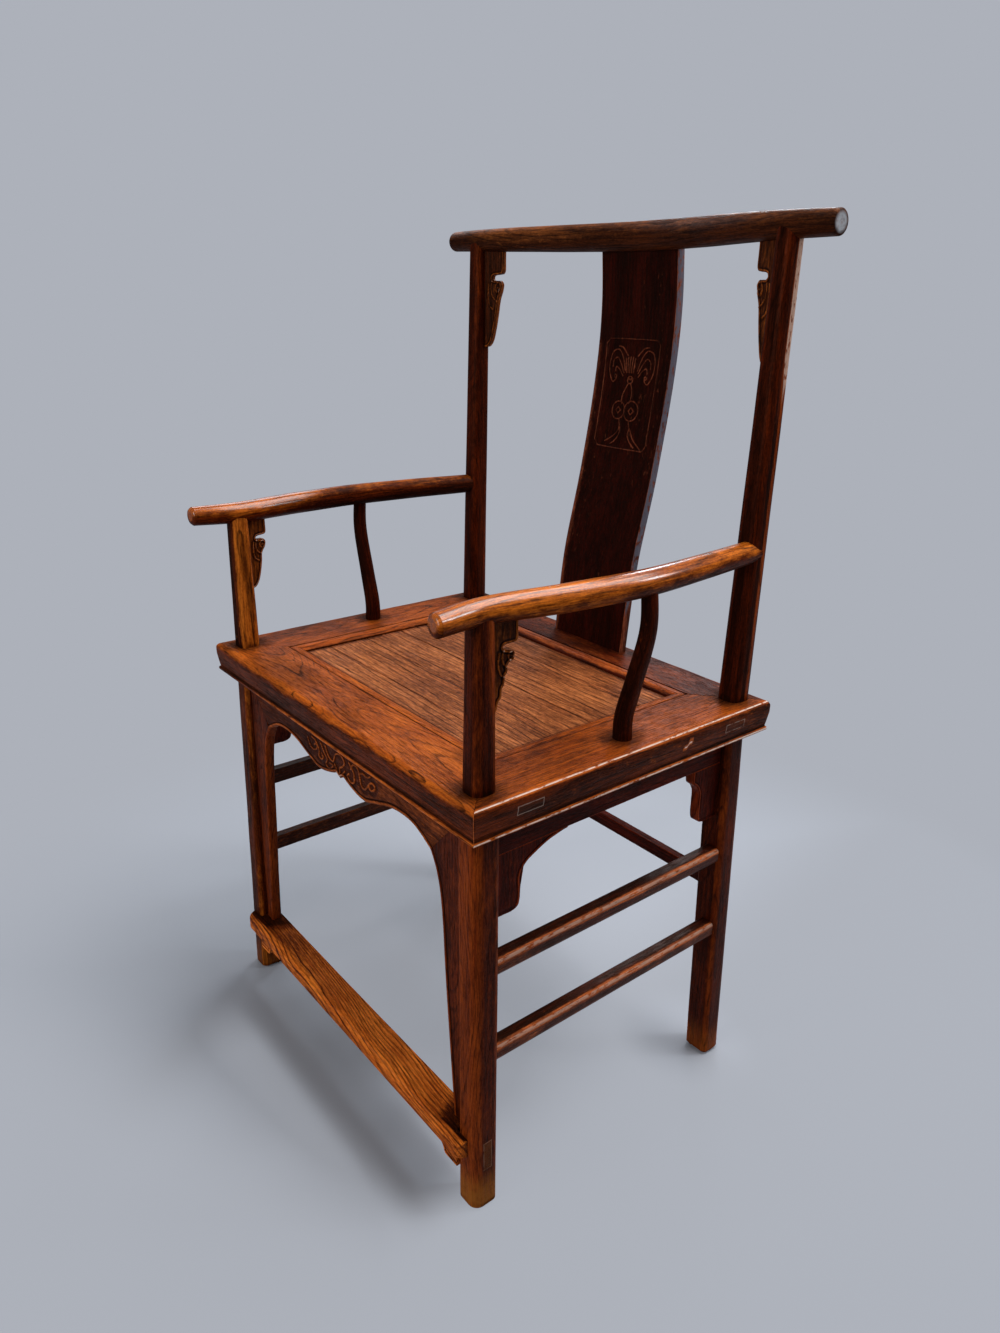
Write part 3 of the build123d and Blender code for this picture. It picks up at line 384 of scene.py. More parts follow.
def group(title, takes):
    """A shared effect; takes holds the default of each number that goes in, or None for a place."""
    tree = bpy.data.node_groups.new(title, "ShaderNodeTree")
    for name, default in takes.items():
        kind = "NodeSocketVector" if default is None else "NodeSocketFloat"
        socket = tree.interface.new_socket(name, in_out="INPUT", socket_type=kind)
        if default is not None:
            socket.default_value = default
    return Bench(tree), tree.nodes.new("NodeGroupInput").outputs


def gives(b, **results):
    """Ends a shared effect with the masks and values that come out of it."""
    for name in results:
        b.tree.interface.new_socket(name, in_out="OUTPUT", socket_type="NodeSocketFloat")
    end = b.tree.nodes.new("NodeGroupOutput").inputs
    for name, value in results.items():
        b.feed(end[name], value)
    return b.tree


def make_elm_grain():
    """Growth lines that cut the surface in flames, the pores of the spring wood, and slow changes of tone."""
    b, take = group("elm_grain", {
        "Plank": None, "Ring Gap": 0.004, "Heart Depth": 0.05, "Lean": 0.05, "Wander": 0.5, "Pore Size": 1.0,
        "Breaks": 1.0, "Line Share": 0.42,
    })
    plank, share, wave = take["Plank"], take["Line Share"], take["Wander"]
    slow = b.add("ShaderNodeTexNoise", inputs={
        "Vector": b.stretch(plank, (5.0, 15.0, 15.0)), "Scale": 1.0, "Detail": 1.0, "Roughness": 0.4,
    }).outputs["Color"]
    drift = b.stretch(b.apart(slow, (0.5, 0.5, 0.5)), (0.0, 0.06, 0.06))
    along, across, through = b.split(b.vector("ADD", plank, b.stretch(drift, b.joined(wave, wave, wave))))
    run = b.less(b.math("PINGPONG", along, 0.7), 0.35)
    depth = b.plus(through, b.math("MULTIPLY_ADD", run, take["Lean"], take["Heart Depth"]))
    reach = b.math("SQRT", b.plus(b.times(across, across), b.times(depth, depth)))
    jitter = b.noise(b.stretch(plank, (16.0, 70.0, 70.0)), 1.0, 2.0)
    turn = b.plus(b.math("DIVIDE", reach, take["Ring Gap"]), b.times(jitter, b.times(wave, 1.4)))
    phase = b.math("FRACT", turn)
    # sharp start of the spring wood, slower fade through the summer wood
    early = b.times(b.band(phase, 0.0, b.times(share, 0.2)), b.band(phase, share, b.times(share, 0.3)))
    broken = b.band(b.noise(b.stretch(plank, (9.0, 120.0, 120.0)), 1.0, 2.0, 0.5), 0.3, 0.6, 0.25, 1.0)
    broken = b.most(broken, b.less(1.0, take["Breaks"]))
    year = b.add("ShaderNodeTexWhiteNoise", noise_dimensions="1D", inputs={"W": b.math("FLOOR", turn)})
    broken = b.times(broken, b.math("MULTIPLY_ADD", year.outputs["Value"], 0.65, 0.4))
    lines = b.times(early, broken)
    narrow = b.math("DIVIDE", 1150.0, take["Pore Size"])
    fine = b.noise(b.stretch(plank, b.joined(48.0, narrow, narrow)), 1.0, 2.0, 0.6)
    pores = b.times(b.band(fine, 0.5, 0.6), b.math("MULTIPLY_ADD", lines, 0.5, 0.5))
    tone = b.noise(b.stretch(plank, (8.0, 34.0, 34.0)), 1.0, 3.0, 0.6)
    streak = b.noise(b.stretch(plank, (12.0, 330.0, 330.0)), 1.0, 3.0, 0.6)
    speck = b.noise(b.stretch(plank, (260.0, 900.0, 900.0)), 1.0, 2.0, 0.6)
    blend = b.plus(b.plus(b.times(tone, 0.34), b.times(streak, 0.38)), b.times(speck, 0.28))
    height = b.less(b.times(streak, 0.3), b.plus(pores, b.times(lines, 0.4)))
    return gives(b, Lines=lines, Pores=pores, Tone=blend, Height=height)


def make_age():
    """Where the lacquer is rubbed through, where dirt sits, and where an arris is rubbed pale; on some pieces the dark
    also holds painted shade, and the pale holds painted highlights and a painted reflection.
    """
    b, take = group("age", {"Place": None, "Worn": 0.0, "Rubbed": 0.3, "Patchy": 1.0})
    place, worn = take["Place"], take["Worn"]
    broad = b.noise(place, 9.0, 4.0, 0.6)
    small = b.noise(place, 60.0, 4.0, 0.65)
    chips = b.noise(place, 260.0, 3.0, 0.6)
    patch = b.plus(b.times(broad, 0.6), b.times(small, 0.4))
    patch = b.times(b.less(patch, 0.5), take["Patchy"])
    level = b.plus(b.plus(take["Rubbed"], patch), b.times(worn, 0.75))
    rub = b.band(b.plus(level, b.times(b.less(chips, 0.5), 0.55)), 0.15, 0.85)
    dirt = b.times(b.band(worn, -0.45, -0.95), b.band(small, 0.3, 0.6, 0.6, 1.0))
    # pale marks rubbed arrises, and on some pieces painted highlights and a painted reflection
    pale = b.times(b.band(worn, 0.95, 1.25), b.band(chips, 0.34, 0.5))
    scuff = b.times(b.band(chips, 0.62, 0.72), b.band(broad, 0.5, 0.62))
    return gives(b, Rub=rub, Dirt=dirt, Pale=pale, Scuff=scuff)


# smudges on the seat frame: x, y and size
smudges = ((-137, -198, 0.030), (30, -206, 0.012), (205, -160, 0.012))


def seat_point(x, y):
    """A place in the chair's plan, in metres from its middle."""
    return (x * mm, (y + seat_middle) * mm, 0)


def make_post_grime():
    """Dark grime on the seat frame round the feet of the posts and of the arm struts."""
    b, take = group("post_grime", {"Place": None})
    place = take["Place"]
    # one side stands for both, so the distance from the middle is taken
    plan = b.vector("ADD", b.vector("ABSOLUTE", b.stretch(place, (1, 0, 0))), b.stretch(place, (0, 1, 0)))
    nearest = None
    for x, y, size in ((post_out, front_post, 0.015), (post_out, rear_post, 0.016), (strut_out, strut_place, 0.010)):
        away = b.less(b.vector("LENGTH", b.apart(plan, seat_point(x, y))), size)
        nearest = away if nearest is None else b.math("MINIMUM", nearest, away)
    ragged = b.uneven(0.03, place, 45.0, 4.0, 0.65)
    grime = b.band(b.plus(nearest, ragged), 0.024, 0.002)
    for x, y, size in smudges:
        away = b.less(b.vector("LENGTH", b.stretch(b.apart(place, seat_point(x, y)), (0.4, 1, 0))), size)
        grime = b.most(grime, b.band(b.plus(away, ragged), 0.008, -0.008, 0.0, 0.55))
    return gives(b, Grime=grime)


def make_tenon_outline():
    """The dusty joint line round the end of a through tenon on a side face, between two corners."""
    b, take = group("tenon_outline", dict.fromkeys(("Place", "Middle", "Half")))
    place = take["Place"]
    _, along, up = b.split(b.apart(b.vector("ABSOLUTE", b.apart(place, take["Middle"])), take["Half"]))
    edge = b.plus(b.most(along, up), b.uneven(0.0009, place, 300.0, 2.0))
    gone = b.band(b.noise(place, 90.0, 2.0), 0.32, 0.5)
    line = b.times(b.band(b.math("ABSOLUTE", edge), 0.0008, 0.0003), gone)
    return gives(b, Line=line, Inside=b.band(edge, 0.0002, -0.0004))


elm_grain = make_elm_grain()
age = make_age()
tenon_outline = make_tenon_outline()
post_grime = make_post_grime()


def lacquered_elm(
    title, dark, middle, light, line_colour=None, rubbed=0.3, patchy=1.0, ring_gap=0.004, heart=0.05, lean=0.05,
    wave=0.5, lines=0.5, gloss=0.42, shine=0.09, coat=0.0, grain_depth=0.5, end_colour=(70, 40, 28), pore=1.0,
    along=None, grimy=False, tenons=(), pale=(196, 160, 140), breaks=1.0, line_share=0.42, coat_gloss=0.2,
    tint=(1.0, 0.6, 0.42, 1.0),
):
    """Old elm under dark red-brown lacquer: dark where it is thick, middle, and light where rubbed."""
    finish = bpy.data.materials.new(title)
    finish.use_nodes = True
    tree = finish.node_tree
    tree.nodes.clear()
    b = Bench(tree)
    place = b.add("ShaderNodeTexCoord").outputs["Object"]
    if along:
        parts = b.split(place)
        plank = b.joined(*(parts[axis] for axis in along))
    else:
        plank = b.mark("plank", "Vector")
    worn, end_grain = b.mark("worn"), b.mark("end_grain")
    grain = b.effect(elm_grain, {
        "Plank": plank, "Ring Gap": ring_gap, "Heart Depth": heart, "Lean": lean, "Wander": wave,
        "Pore Size": pore, "Breaks": breaks, "Line Share": line_share,
    })
    years = b.effect(age, {
        "Place": b.stretch(plank, (0.4, 1, 1)), "Worn": worn, "Rubbed": rubbed, "Patchy": patchy,
    })
    dirt = years["Dirt"]
    if grimy:
        dirt = b.most(dirt, b.times(b.effect(post_grime, {"Place": place})["Grime"], 0.75))
    lacquer = b.mix(b.band(grain["Tone"], 0.4, 0.7), paint(*dark), paint(*middle))
    bare = b.mix(b.band(grain["Tone"], 0.34, 0.66), paint(*middle), paint(*light))
    ground = b.mix(years["Rub"], lacquer, bare)
    mottled = b.band(b.noise(place, 150.0, 4.0, 0.65), 0.36, 0.56, 0.5, 0.85)
    # the pale colour goes on rubbed arrises, and on some pieces it is a painted highlight, and on the splat a painted
    # reflection
    for mask, strength, colour in (
        (grain["Lines"], lines, line_colour or dark), (grain["Pores"], 0.8, [c * 0.45 for c in dark]),
        (dirt, 0.88, [c * 0.35 for c in dark]), (end_grain, mottled, end_colour),
        (years["Scuff"], 0.22, light), (years["Pale"], 0.85, pale),
    ):
        ground = b.mix(b.times(mask, strength), ground, paint(*colour))
    for y, z, half_y, half_z in tenons:
        joint = b.effect(tenon_outline, {
            "Place": place, "Middle": (0, (y + seat_middle) * mm, z * mm),
            "Half": (1, half_y * mm, half_z * mm),
        })
        ground = b.mix(b.times(joint["Inside"], 0.4), ground, paint(*tenon_colour))
        ground = b.mix(b.times(joint["Line"], 0.2), ground, paint(*pale))
    rough = gloss
    for mask, strength in ((b.less(b.noise(place, 40.0, 4.0), 0.5), 0.25), (grain["Pores"], 0.25), (dirt, 0.3)):
        rough = b.math("MULTIPLY_ADD", mask, strength, rough)
    bump = b.add("ShaderNodeBump", inputs={
        "Strength": grain_depth, "Distance": 0.0006, "Height": grain["Height"],
    })
    dents = b.add("ShaderNodeBump", inputs={
        "Strength": 0.25, "Distance": 0.0015, "Height": b.noise(place, 55.0, 3.0), "Normal": bump.outputs["Normal"],
    })
    shader = b.add("ShaderNodeBsdfPrincipled", inputs={
        "Base Color": ground, "Roughness": rough, "Normal": dents.outputs["Normal"],
        "Coat Weight": b.times(b.band(worn, 0.05, 0.5), coat) if coat else 0.0,
        "Coat Roughness": coat_gloss, "IOR": 1.45, "Specular IOR Level": shine, "Specular Tint": tint,
    })
    b.add("ShaderNodeOutputMaterial", inputs={"Surface": shader.outputs[0]})
    return finish


tenon_colour = (49, 28, 16)
# through tenons that show on a side: middle and half size, along the side and up
footrest_joint = (-195.75, 76, 5.5, 19)
seat_joints = ((-154, 509.75, 16.5, 4.75), (160, 509.75, 16.5, 4.75))
scuffed_end = (140, 84, 28)
dark_elm = lacquered_elm("dark_elm", (38, 6, 2), (96, 22, 6), (158, 62, 18), rubbed=0.2, patchy=1.6, shine=0.06)
stretcher_elm = lacquered_elm(
    "stretcher_elm", (32, 7, 2), (92, 30, 8), (222, 112, 48), rubbed=0.2, patchy=1.8, shine=0.2, gloss=0.34,
    tint=(1.0, 0.5, 0.28, 1.0),
)
spandrel_elm = lacquered_elm(
    "spandrel_elm", (30, 9, 3), (86, 34, 8), (178, 94, 32), rubbed=0.3, patchy=1.8, heart=0.004, lean=0.06, lines=0.85,
)
leg_elm = lacquered_elm(
    "leg_elm", (38, 8, 2), (100, 33, 6), (142, 62, 16), rubbed=0.36, patchy=1.4, heart=-0.012, lean=0.15, lines=0.6,
    tenons=(footrest_joint,), pore=1.5, shine=0.06, end_colour=scuffed_end,
)
apron_elm = lacquered_elm(
    "apron_elm", (42, 12, 3), (96, 38, 9), (196, 100, 44), rubbed=0.3, patchy=1.4, lines=0.5, shine=0.05,
)
hand_worn_elm = lacquered_elm(
    "hand_worn_elm", (38, 9, 2), (112, 44, 8), (204, 112, 34), rubbed=0.34, patchy=1.9, ring_gap=0.0062, heart=-0.004,
    lean=0.03, lines=0.9, tenons=(footrest_joint,), pore=1.5, shine=0.06, end_colour=scuffed_end,
)
arm_elm = lacquered_elm(
    "arm_elm", (40, 10, 2), (124, 46, 7), (238, 128, 34), rubbed=0.4, patchy=2.5, heart=0.004, lean=0.06, lines=0.55,
    gloss=0.36, shine=0.06, coat=1.0, coat_gloss=0.19, grain_depth=0.2, end_colour=(120, 58, 24), pore=1.5,
)
# its end grain is painted pale blue-grey, a painted reflection on the crest's ends
crest_elm = lacquered_elm(
    "crest_elm", (34, 11, 4), (86, 40, 15), (162, 92, 42), rubbed=0.26, patchy=1.6, heart=0.004, lean=0.05, lines=0.7,
    gloss=0.46, shine=0.07, coat=0.12, coat_gloss=0.2, end_colour=(176, 180, 186), pore=1.4,
)
front_rail_elm = lacquered_elm(
    "front_rail_elm", (42, 12, 2), (138, 55, 12), (204, 104, 30), rubbed=0.42, patchy=2.2, ring_gap=0.003, heart=0.022,
    lean=0.07, wave=0.45, lines=0.8, gloss=0.42, grimy=True, line_share=0.3, pore=1.7, grain_depth=0.7,
)
# its pale colour is rubbed lacquer brightened into a painted highlight on the arrises
side_rail_elm = lacquered_elm(
    "side_rail_elm", (38, 11, 2), (130, 50, 9), (198, 96, 24), rubbed=0.4, patchy=2.5, ring_gap=0.0034, heart=0.02,
    lean=0.08, wave=0.45, lines=0.85, grimy=True, pale=(244, 216, 198), line_share=0.3, pore=1.7,
    grain_depth=0.7, tenons=seat_joints,
)
rear_rail_elm = lacquered_elm(
    "rear_rail_elm", (34, 8, 3), (102, 30, 11), (190, 94, 36), rubbed=0.14, patchy=1.6, ring_gap=0.0036, heart=0.03,
    lean=0.06, wave=0.5, lines=0.6, gloss=0.36, grimy=True, line_share=0.3, pore=1.6,
)
panel_elm = lacquered_elm(
    "panel_elm", (64, 26, 9), (182, 96, 50), (230, 144, 82), rubbed=0.42, ring_gap=0.0088, heart=0.02, lean=0.02,
    lines=1.0, gloss=0.5, shine=0.12, grain_depth=0.9, pore=1.5, breaks=0.2, line_share=0.26,
    line_colour=(38, 13, 6),
)
foot_elm = lacquered_elm(
    "foot_elm", (60, 17, 3), (184, 80, 20), (248, 136, 46), rubbed=0.5, patchy=1.2, ring_gap=0.0036, heart=0.03,
    wave=0.6, lines=1.0, gloss=0.5, grain_depth=0.9, pore=1.2, breaks=0.1, line_share=0.56, line_colour=(74, 22, 6),
)
batten_elm = lacquered_elm(
    "batten_elm", (60, 30, 18), (104, 62, 38), (140, 92, 60), gloss=0.6, along=(1, 0, 2),
)
# its pale bluish-grey colour is a painted reflection down the right side
splat_elm = lacquered_elm(
    "splat_elm", (20, 3, 1), (58, 12, 5), (158, 84, 56), rubbed=0.08, patchy=0.9, heart=0.06, lines=0.35, gloss=0.4,
    shine=0.06, pale=(92, 94, 106),
)


# ---- Legs and posts ----
def leg_middle(z):
    """How far out to the side and to the end the middle of a splayed leg stands at a height."""
    low = (seat_under - np.minimum(z, seat_under)) / seat_under
    return leg_out + splay_side * low, leg_end + splay_end * low


# how far each post is rubbed above and below the seat: (front or rear, left or right)
post_rub = {(-1, 1): (-0.5, -0.12), (-1, -1): (0.0, -0.6), (1, 1): (-0.8, -0.34), (1, -1): (-0.6, -0.3)}
leg_head = 486.0


def make_post(side, word, end):
    front = end < 0
    top = arm_height if front else crest_height
    base, head = (29.0, 24.4) if front else (31.5, 25.0)
    above, below = post_rub[end, side]
    rings, worn = [], []
    for z in np.concatenate([
        np.linspace(0, 484, 110), [leg_head, 487.2], np.linspace(seat_under + 1, seat_top - 2, 4),
        np.linspace(seat_top, top, 60 if front else 130),
    ]):
        if z <= leg_head:
            # corners from +x+y round: the outer one is the roundest
            ring, rub = section(leg_size, leg_size, (8, 2.5, 8, 12) if front else (12, 8, 2.5, 8))
            x, y = leg_middle(z)
            y *= end
        else:
            share = max(0.0, (z - seat_top) / (top - seat_top))
            size = base + (head - base) * share
            ring, rub = section(size, size, [size * 0.36] * 4)
            x = post_out if front else post_out + (rear_head_out - post_out) * share
            y = front_post if front else rear_post + (rear_head - rear_post) * share
        rings.append(line_at(ring[:, 0] + x, ring[:, 1] + y, z))
        foot = 1 - smooth(8, 70, z)
        collar = 0.5 * (1 - smooth(0, 8, abs(z - seat_top) - 1)) if z > seat_under else 0
        over_seat = smooth(seat_under, seat_top + 10, z)
        row = rub * 0.55 + below + (above - below) * over_seat + 0.7 * foot - collar
        facing = np.arctan2(*(ring - ring.mean(0)).T[::-1])
        if side < 0 and front:
            # the right front post is rubbed on its inner face, and its other faces are painted darker, as painted
            # shade
            row = row + over_seat * (1.15 * smooth(2.15, 2.5, np.abs(facing)) - 0.85)
        elif side > 0 and front:
            # the left one is rubbed brown on its outer side, and below the seat on its front
            row = row + 0.85 * smooth(-0.1, 0.2, facing) * smooth(1.3, 1.0, facing) * smooth(560, 650, z)
            row = row + 0.4 * smooth(-2.3, -1.9, facing) * smooth(-0.9, -1.25, facing) * (1 - over_seat)
        elif side > 0:
            # the left rear one is pale at its head and down one arris: worn lacquer with a painted highlight
            head_wear_and_highlight = smooth(840, 930, z)
            arris = smooth(0.0, 0.15, facing) * smooth(0.5, 0.35, facing)
            row = row + 2.2 * smooth(-0.25, 0.0, facing) * smooth(1.0, 0.7, facing) * head_wear_and_highlight
            row = row + 1.65 * arris * over_seat * (1 - head_wear_and_highlight)
        worn.append(np.minimum(row, 0.9) if z < 100 else row)
    rings = ease_ends(np.array(rings), 8.5 if front else 7.0, 6, (True, False))
    rings += wander(rings, 160, 0.35, 11 + end + (0 if side > 0 else 40)) * np.array([1, 1, 0])
    rings[..., 2] = np.maximum(rings[..., 2], 0)
    rings = mirror_x(rings, side)
    grain = grain_along(rings, (2, 0, 1), (side * 900 + end * 300, -side * leg_out + 11, -end * leg_end + 4))
    timber(
        f"{'front' if front else 'rear'}_post_{word}", rings, grain, with_ends(np.array(worn), 6, 0),
        hand_worn_elm if front and side < 0 else leg_elm, cap=0.6, foot_scuff=0.9 if front and side > 0 else 0.2,
    )


both(make_post, -1)
both(make_post, 1)


# ---- Round rails ----
def round_rail(
    name, path, radii, finish, shift, top_rub=0.6, around=40, ease=2.0, ends=(True, True), up=(0, 0, 1),
    tip_way=None, along_rub=0.0,
):
    """A round rail along a path, rubbed on top and painted darker underneath, as shade; tip_way squares its first end
    to that direction.
    """
    along = unit(np.gradient(path, axis=0))
    if tip_way is not None:
        turn = smooth(0, 7, np.arange(len(path)))[:, None]
        along = unit(np.asarray(tip_way) * (1 - turn) + along * turn)
    out = unit(np.cross(along, up))
    over = np.cross(out, along)
    angle = np.linspace(0, 2 * math.pi, around, endpoint=False)
    u, v = np.cos(angle) * radii[:, None], np.sin(angle) * radii[:, None]
    rings = path[:, None, :] + u[..., None] * out[:, None, :] + v[..., None] * over[:, None, :]
    run = np.concatenate([[0], np.cumsum(np.linalg.norm(np.diff(path, axis=0), axis=1))])
    grain = line_at(run[:, None], u, v) + np.array(shift)
    # rubbed on top; the underside is painted darker, as painted shade
    rub_and_under_shade = top_rub * np.clip(np.sin(angle), 0, 1) + 0.55 * np.clip(np.sin(angle), -1, 0)
    worn = rub_and_under_shade + np.broadcast_to(along_rub, len(path))[:, None]
    head, tail = (3 if end else 0 for end in ends)
    rings = ease_ends(rings, ease, 3, ends)
    rings = rings + wander(rings, 110, 0.35, int(abs(shift[0])) % 97 + 3)
    timber(name, rings, with_ends(grain, head, tail), with_ends(worn, head, tail), finish)


across = np.linspace(-crest_half, crest_half, 150)
bow = 50.5 * (1 + np.cos(math.pi * np.minimum(np.abs(across) / 295.0, 1))) / 2
round_rail(
    "crest_rail", line_at(across, rear_head + bow, crest_height),
    13.1 + 4.4 * np.cos(math.pi / 2 * across / crest_half), crest_elm, (300, 6, 5), top_rub=0.35,
)

arm_points = [
    (271, -251.5, arm_height), (261.45, -193.25, arm_height), (276, -96, arm_height),
    (283.5, 0, arm_height), (276, 96, arm_height), (263.9, 198.7, arm_height),
]


def make_arm(side, word):
    share = np.linspace(0, 1, 110)
    tip = 11.8 + 1.6 * share
    round_rail(
        f"arm_rail_{word}", mirror_x(curve_through(arm_points, 110), side),
        tip + (14.5 - tip) * np.sin(math.pi * share), arm_elm, (1500 + 700 * side, 5, 8), top_rub=0.75,
        ease=4.5, ends=(True, False), tip_way=(0, 1, 0),
        along_rub=-0.6 * smooth(0.3, 0.5, share) if side < 0 else -0.3 * smooth(0.6, 0.9, share),
    )


both(make_arm)


def make_strut(side, word):
    line = [(strut_out, 520), (strut_out, 550), (272, 594), (288, 660), (285, arm_height)]
    path = mirror_x(curve_through([(x, strut_place, z) for x, z in line], 60), side)
    round_rail(
        f"arm_strut_{word}", path, np.linspace(11.0, 8.6, 60), leg_elm, (2500 + 500 * side, 4, 3), top_rub=0.3,
        around=32, ends=(False, False), up=(0, 1, 0), along_rub=-0.4,
    )


both(make_strut)


# ---- Seat frame ----
def rail_section(flat, inner, round_over, bead_wear_and_highlight, edge_wear_and_light, inner_worn, lip):
    """Upper outer edge, top, incised line and bead of a seat rail: (inset, height, worn)."""
    points = [
        (inner, seat_under, 0), (40, seat_under, 0), (8, seat_under, 0), (lip + 1.3, seat_under, 0),
        (lip + 0.3, 487.8, bead_wear_and_highlight - 0.8), (lip, 489.5, bead_wear_and_highlight), (lip + 0.4, 491.2, bead_wear_and_highlight - 0.8),
        (lip + (3 - lip) * 0.8, 492.2, -1), (3.0, 493.2, -0.9),
    ]
    # the outer face below the round-over is painted darker than the top: partly unrubbed lacquer, partly painted shade
    points += [(3.0 * (512 - z) / 20, z, -0.62) for z in (497, 502, 507, 511)]
    for a, rub in zip(np.linspace(0, math.pi / 2, 8), edge_wear_and_light):
        points.append((round_over * (1 - math.cos(a)), seat_top - round_over * (1 - math.sin(a)), rub))
    points += [(round_over + (flat - round_over) * t, seat_top, 0.25) for t in (0.15, 0.3, 0.5, 0.7, 0.85, 0.94)]
    bead = flat + 1.7
    points += [
        (flat - 0.5, seat_top - 0.1, 0.2), (flat + 0.2, seat_top - 1.1, -1), (flat + 1.0, seat_top - 1.1, -1),
        (bead, seat_top - 0.35, 0.2),
    ]
    for t in np.arange(1, 8) / 7:
        fall = 0.2 + 4.0 * t ** 3 - 0.5 * math.sin(math.pi * t)
        points.append((bead + (inner - bead) * t, seat_top - fall, inner_worn * (1 - t ** 4)))
    return np.array(points + [(inner, panel_top - 1.0, -0.8), (inner, 505, -1)])


def seat_rail(
    name, direction, stations, half_run, flat, inner, mitres, finish, seed, wear, bead_wear_and_highlight, edge_wear_and_light,
    inner_worn=0.35, scar=None, lip=0.9,
):
    """One mitred rail; direction places run, inset and height in the chair."""
    rings, worn = [], []
    draw = np.random.default_rng(seed)
    waves = [(draw.uniform(0.008, 0.05), draw.uniform(0, 6.3)) for _ in range(6)]
    for s in np.linspace(-1, 1, stations):
        run = s * half_run
        wave = sum(math.sin(run * k * 2.2 + p) for k, p in waves) / 6
        round_over = np.clip(7 + wear * (4 + 7 * wave) * (1 - abs(s) ** 8), 4, 17)
        profile = rail_section(flat, inner, round_over, bead_wear_and_highlight, edge_wear_and_light, inner_worn, lip)
        inset, z, rub = profile.T
        if name == "seat_rail_front":
            rub[4:7] -= 1.3 * smooth(-0.4, -0.75, s)
        if scar:
            # a pale knock low on the outer face
            hit = np.abs(run - scar[0] - 1.6 * (z - scar[1])) < 3.4
            rub[hit & (np.abs(z - scar[1]) < 4) & (inset < 4)] = 1.5
        rings.append(line_at(s * (half_run - inset * mitres[int(s > 0)]), inset, z))
        worn.append(rub)
    rings = np.array(rings)
    grain = rings + np.array((431 * seed, -flat * 0.55, -seat_top))
    mitre = np.where((inset < 4) & (z < 524), 1.0, -1.0)
    placed = ease_ends(direction(*np.moveaxis(rings, -1, 0)), 0.45, 2)
    timber(name, placed, with_ends(grain, 2, 2), np.array([mitre, mitre, *worn, mitre, mitre]), finish, cap=0.2)


seat_rail(
    "seat_rail_front", lambda run, inset, z: line_at(run, inset - half_depth, z), 180, half_width, 72, 88,
    (91 / 88, 91 / 88), front_rail_elm, 5, 1.0, 1.0, (-0.5, -0.3, 0.1, 0.65, 0.95, 0.9, 0.5, 0.3),
)
seat_rail(
    "seat_rail_rear", lambda run, inset, z: line_at(-run, half_depth - inset, z), 120, half_width, 66, 82,
    (91 / 82, 91 / 82), rear_rail_elm, 8, 0.2, 1.1, (-0.4, -0.4, -0.1, 0.4, 0.9, 0.6, 0.4, 0.25), 1.0,
)


def make_side_rail(side, word):
    left = side > 0
    # the side faces are painted darker, as painted shade, and the upper arris and the lower bead pale: worn lacquer
    # with a painted highlight
    seat_rail(
        f"seat_rail_{word}", lambda run, inset, z: line_at(side * (half_width - inset), run, z), 140, half_depth,
        75, 91, (88 / 91, 82 / 91), side_rail_elm, 12 + side, 0.15, 1.5,
        (-0.7, -0.7, -0.62, 0.1, 1.35, 1.0, 0.35, 0.2), scar=(80, 510) if left else None,
        lip=0.9 if left else 2.4, inner_worn=0.35 if left else 0.9,
    )


both(make_side_rail)


# ---- Plates ----
back_arris = 0.8


def plate(
    name, low_line, high_line, normal, thick, finish, plank, shift, relief=None, cells=24, arris=1.2,
    extra_wear_and_light=None, both_faces=False, **ends,
):
    """A board between two edge lines with the same number of points.

    relief(front) gives the carving's height over each front point, in millimetres, and how
    rubbed it is; both_faces carves the back too."""
    normal = np.broadcast_to(normal, low_line.shape).astype(float)

    def rounded(line, way, n, r, steps, back=False):
        """An arris from the edge line into the face that lies that way."""
        for a in np.linspace(0, math.pi / 2, steps):
            away, deep = r * (1 - math.sin(a)), r * (1 - math.cos(a))
            yield line + way * (deep if back else away) - n * (thick - away if back else deep)

    rings, faces = [], [(5, 1)]
    for low, high, n in zip(low_line, high_line, normal):
        span = np.linalg.norm(high - low)
        way = (high - low) / max(span, 1e-6)
        r, back_r = min(arris, span * 0.3), min(back_arris, span * 0.3)
        front = low + way * r + np.outer(np.linspace(0, 1, cells + 1), way * (span - 2 * r))
        behind = [
            high - way * (back_r + (span - 2 * back_r) * t) - n * thick for t in np.linspace(0.02, 0.98, cells + 1)
        ] if both_faces else []
        rings.append([
            *list(rounded(low, way, n, r, 5))[::-1], *front, *rounded(high, -way, n, r, 5),
            *rounded(high, -way, n, back_r, 3, True), *behind, *list(rounded(low, way, n, back_r, 3, True))[::-1],
        ])
    rings = np.array(rings)
    rub = [0.9] * 5 + [0.0] * (cells + 1) + [0.9] * 5 + [0.3] * 3 + [0.0] * len(behind) + [0.3] * 3
    worn = np.tile(rub, (len(rings), 1))
    if both_faces:
        faces.append((cells + 14, -1))
    for first, outward_way in faces if relief else ():
        face = slice(first, first + cells + 1)
        rise, rub = relief(rings[:, face])
        rings[:, face] += outward_way * normal[:, None, :] * rise[..., None]
        worn[:, face] += rub
    if extra_wear_and_light is not None:
        worn = worn + extra_wear_and_light(rings)
    rings = rings + wander(rings, 120, 0.2, int(abs(shift[0])) % 89 + 5)
    return timber(name, rings, grain_along(rings, plank, shift), worn, finish, **{"cap": 0.2, **ends})


def away_from(lines, sample):
    """Distance of the sample points (u, v) from the nearest of the lines."""
    best = np.full(sample.shape[:-1], 1e9)
    for line in lines:
        for p, q in zip(line[:-1], np.diff(line, axis=0)):
            t = np.clip(((sample - p) @ q) / max(q @ q, 1e-9), 0, 1)
            best = np.minimum(best, np.linalg.norm(sample - p - t[..., None] * q, axis=-1))
    return best


def cord(away, width, height):
    """Height of a rounded cord of that width, at a distance from its middle line."""
    return height * np.sqrt(np.clip(1 - (away / (width / 2)) ** 2, 0, 1))


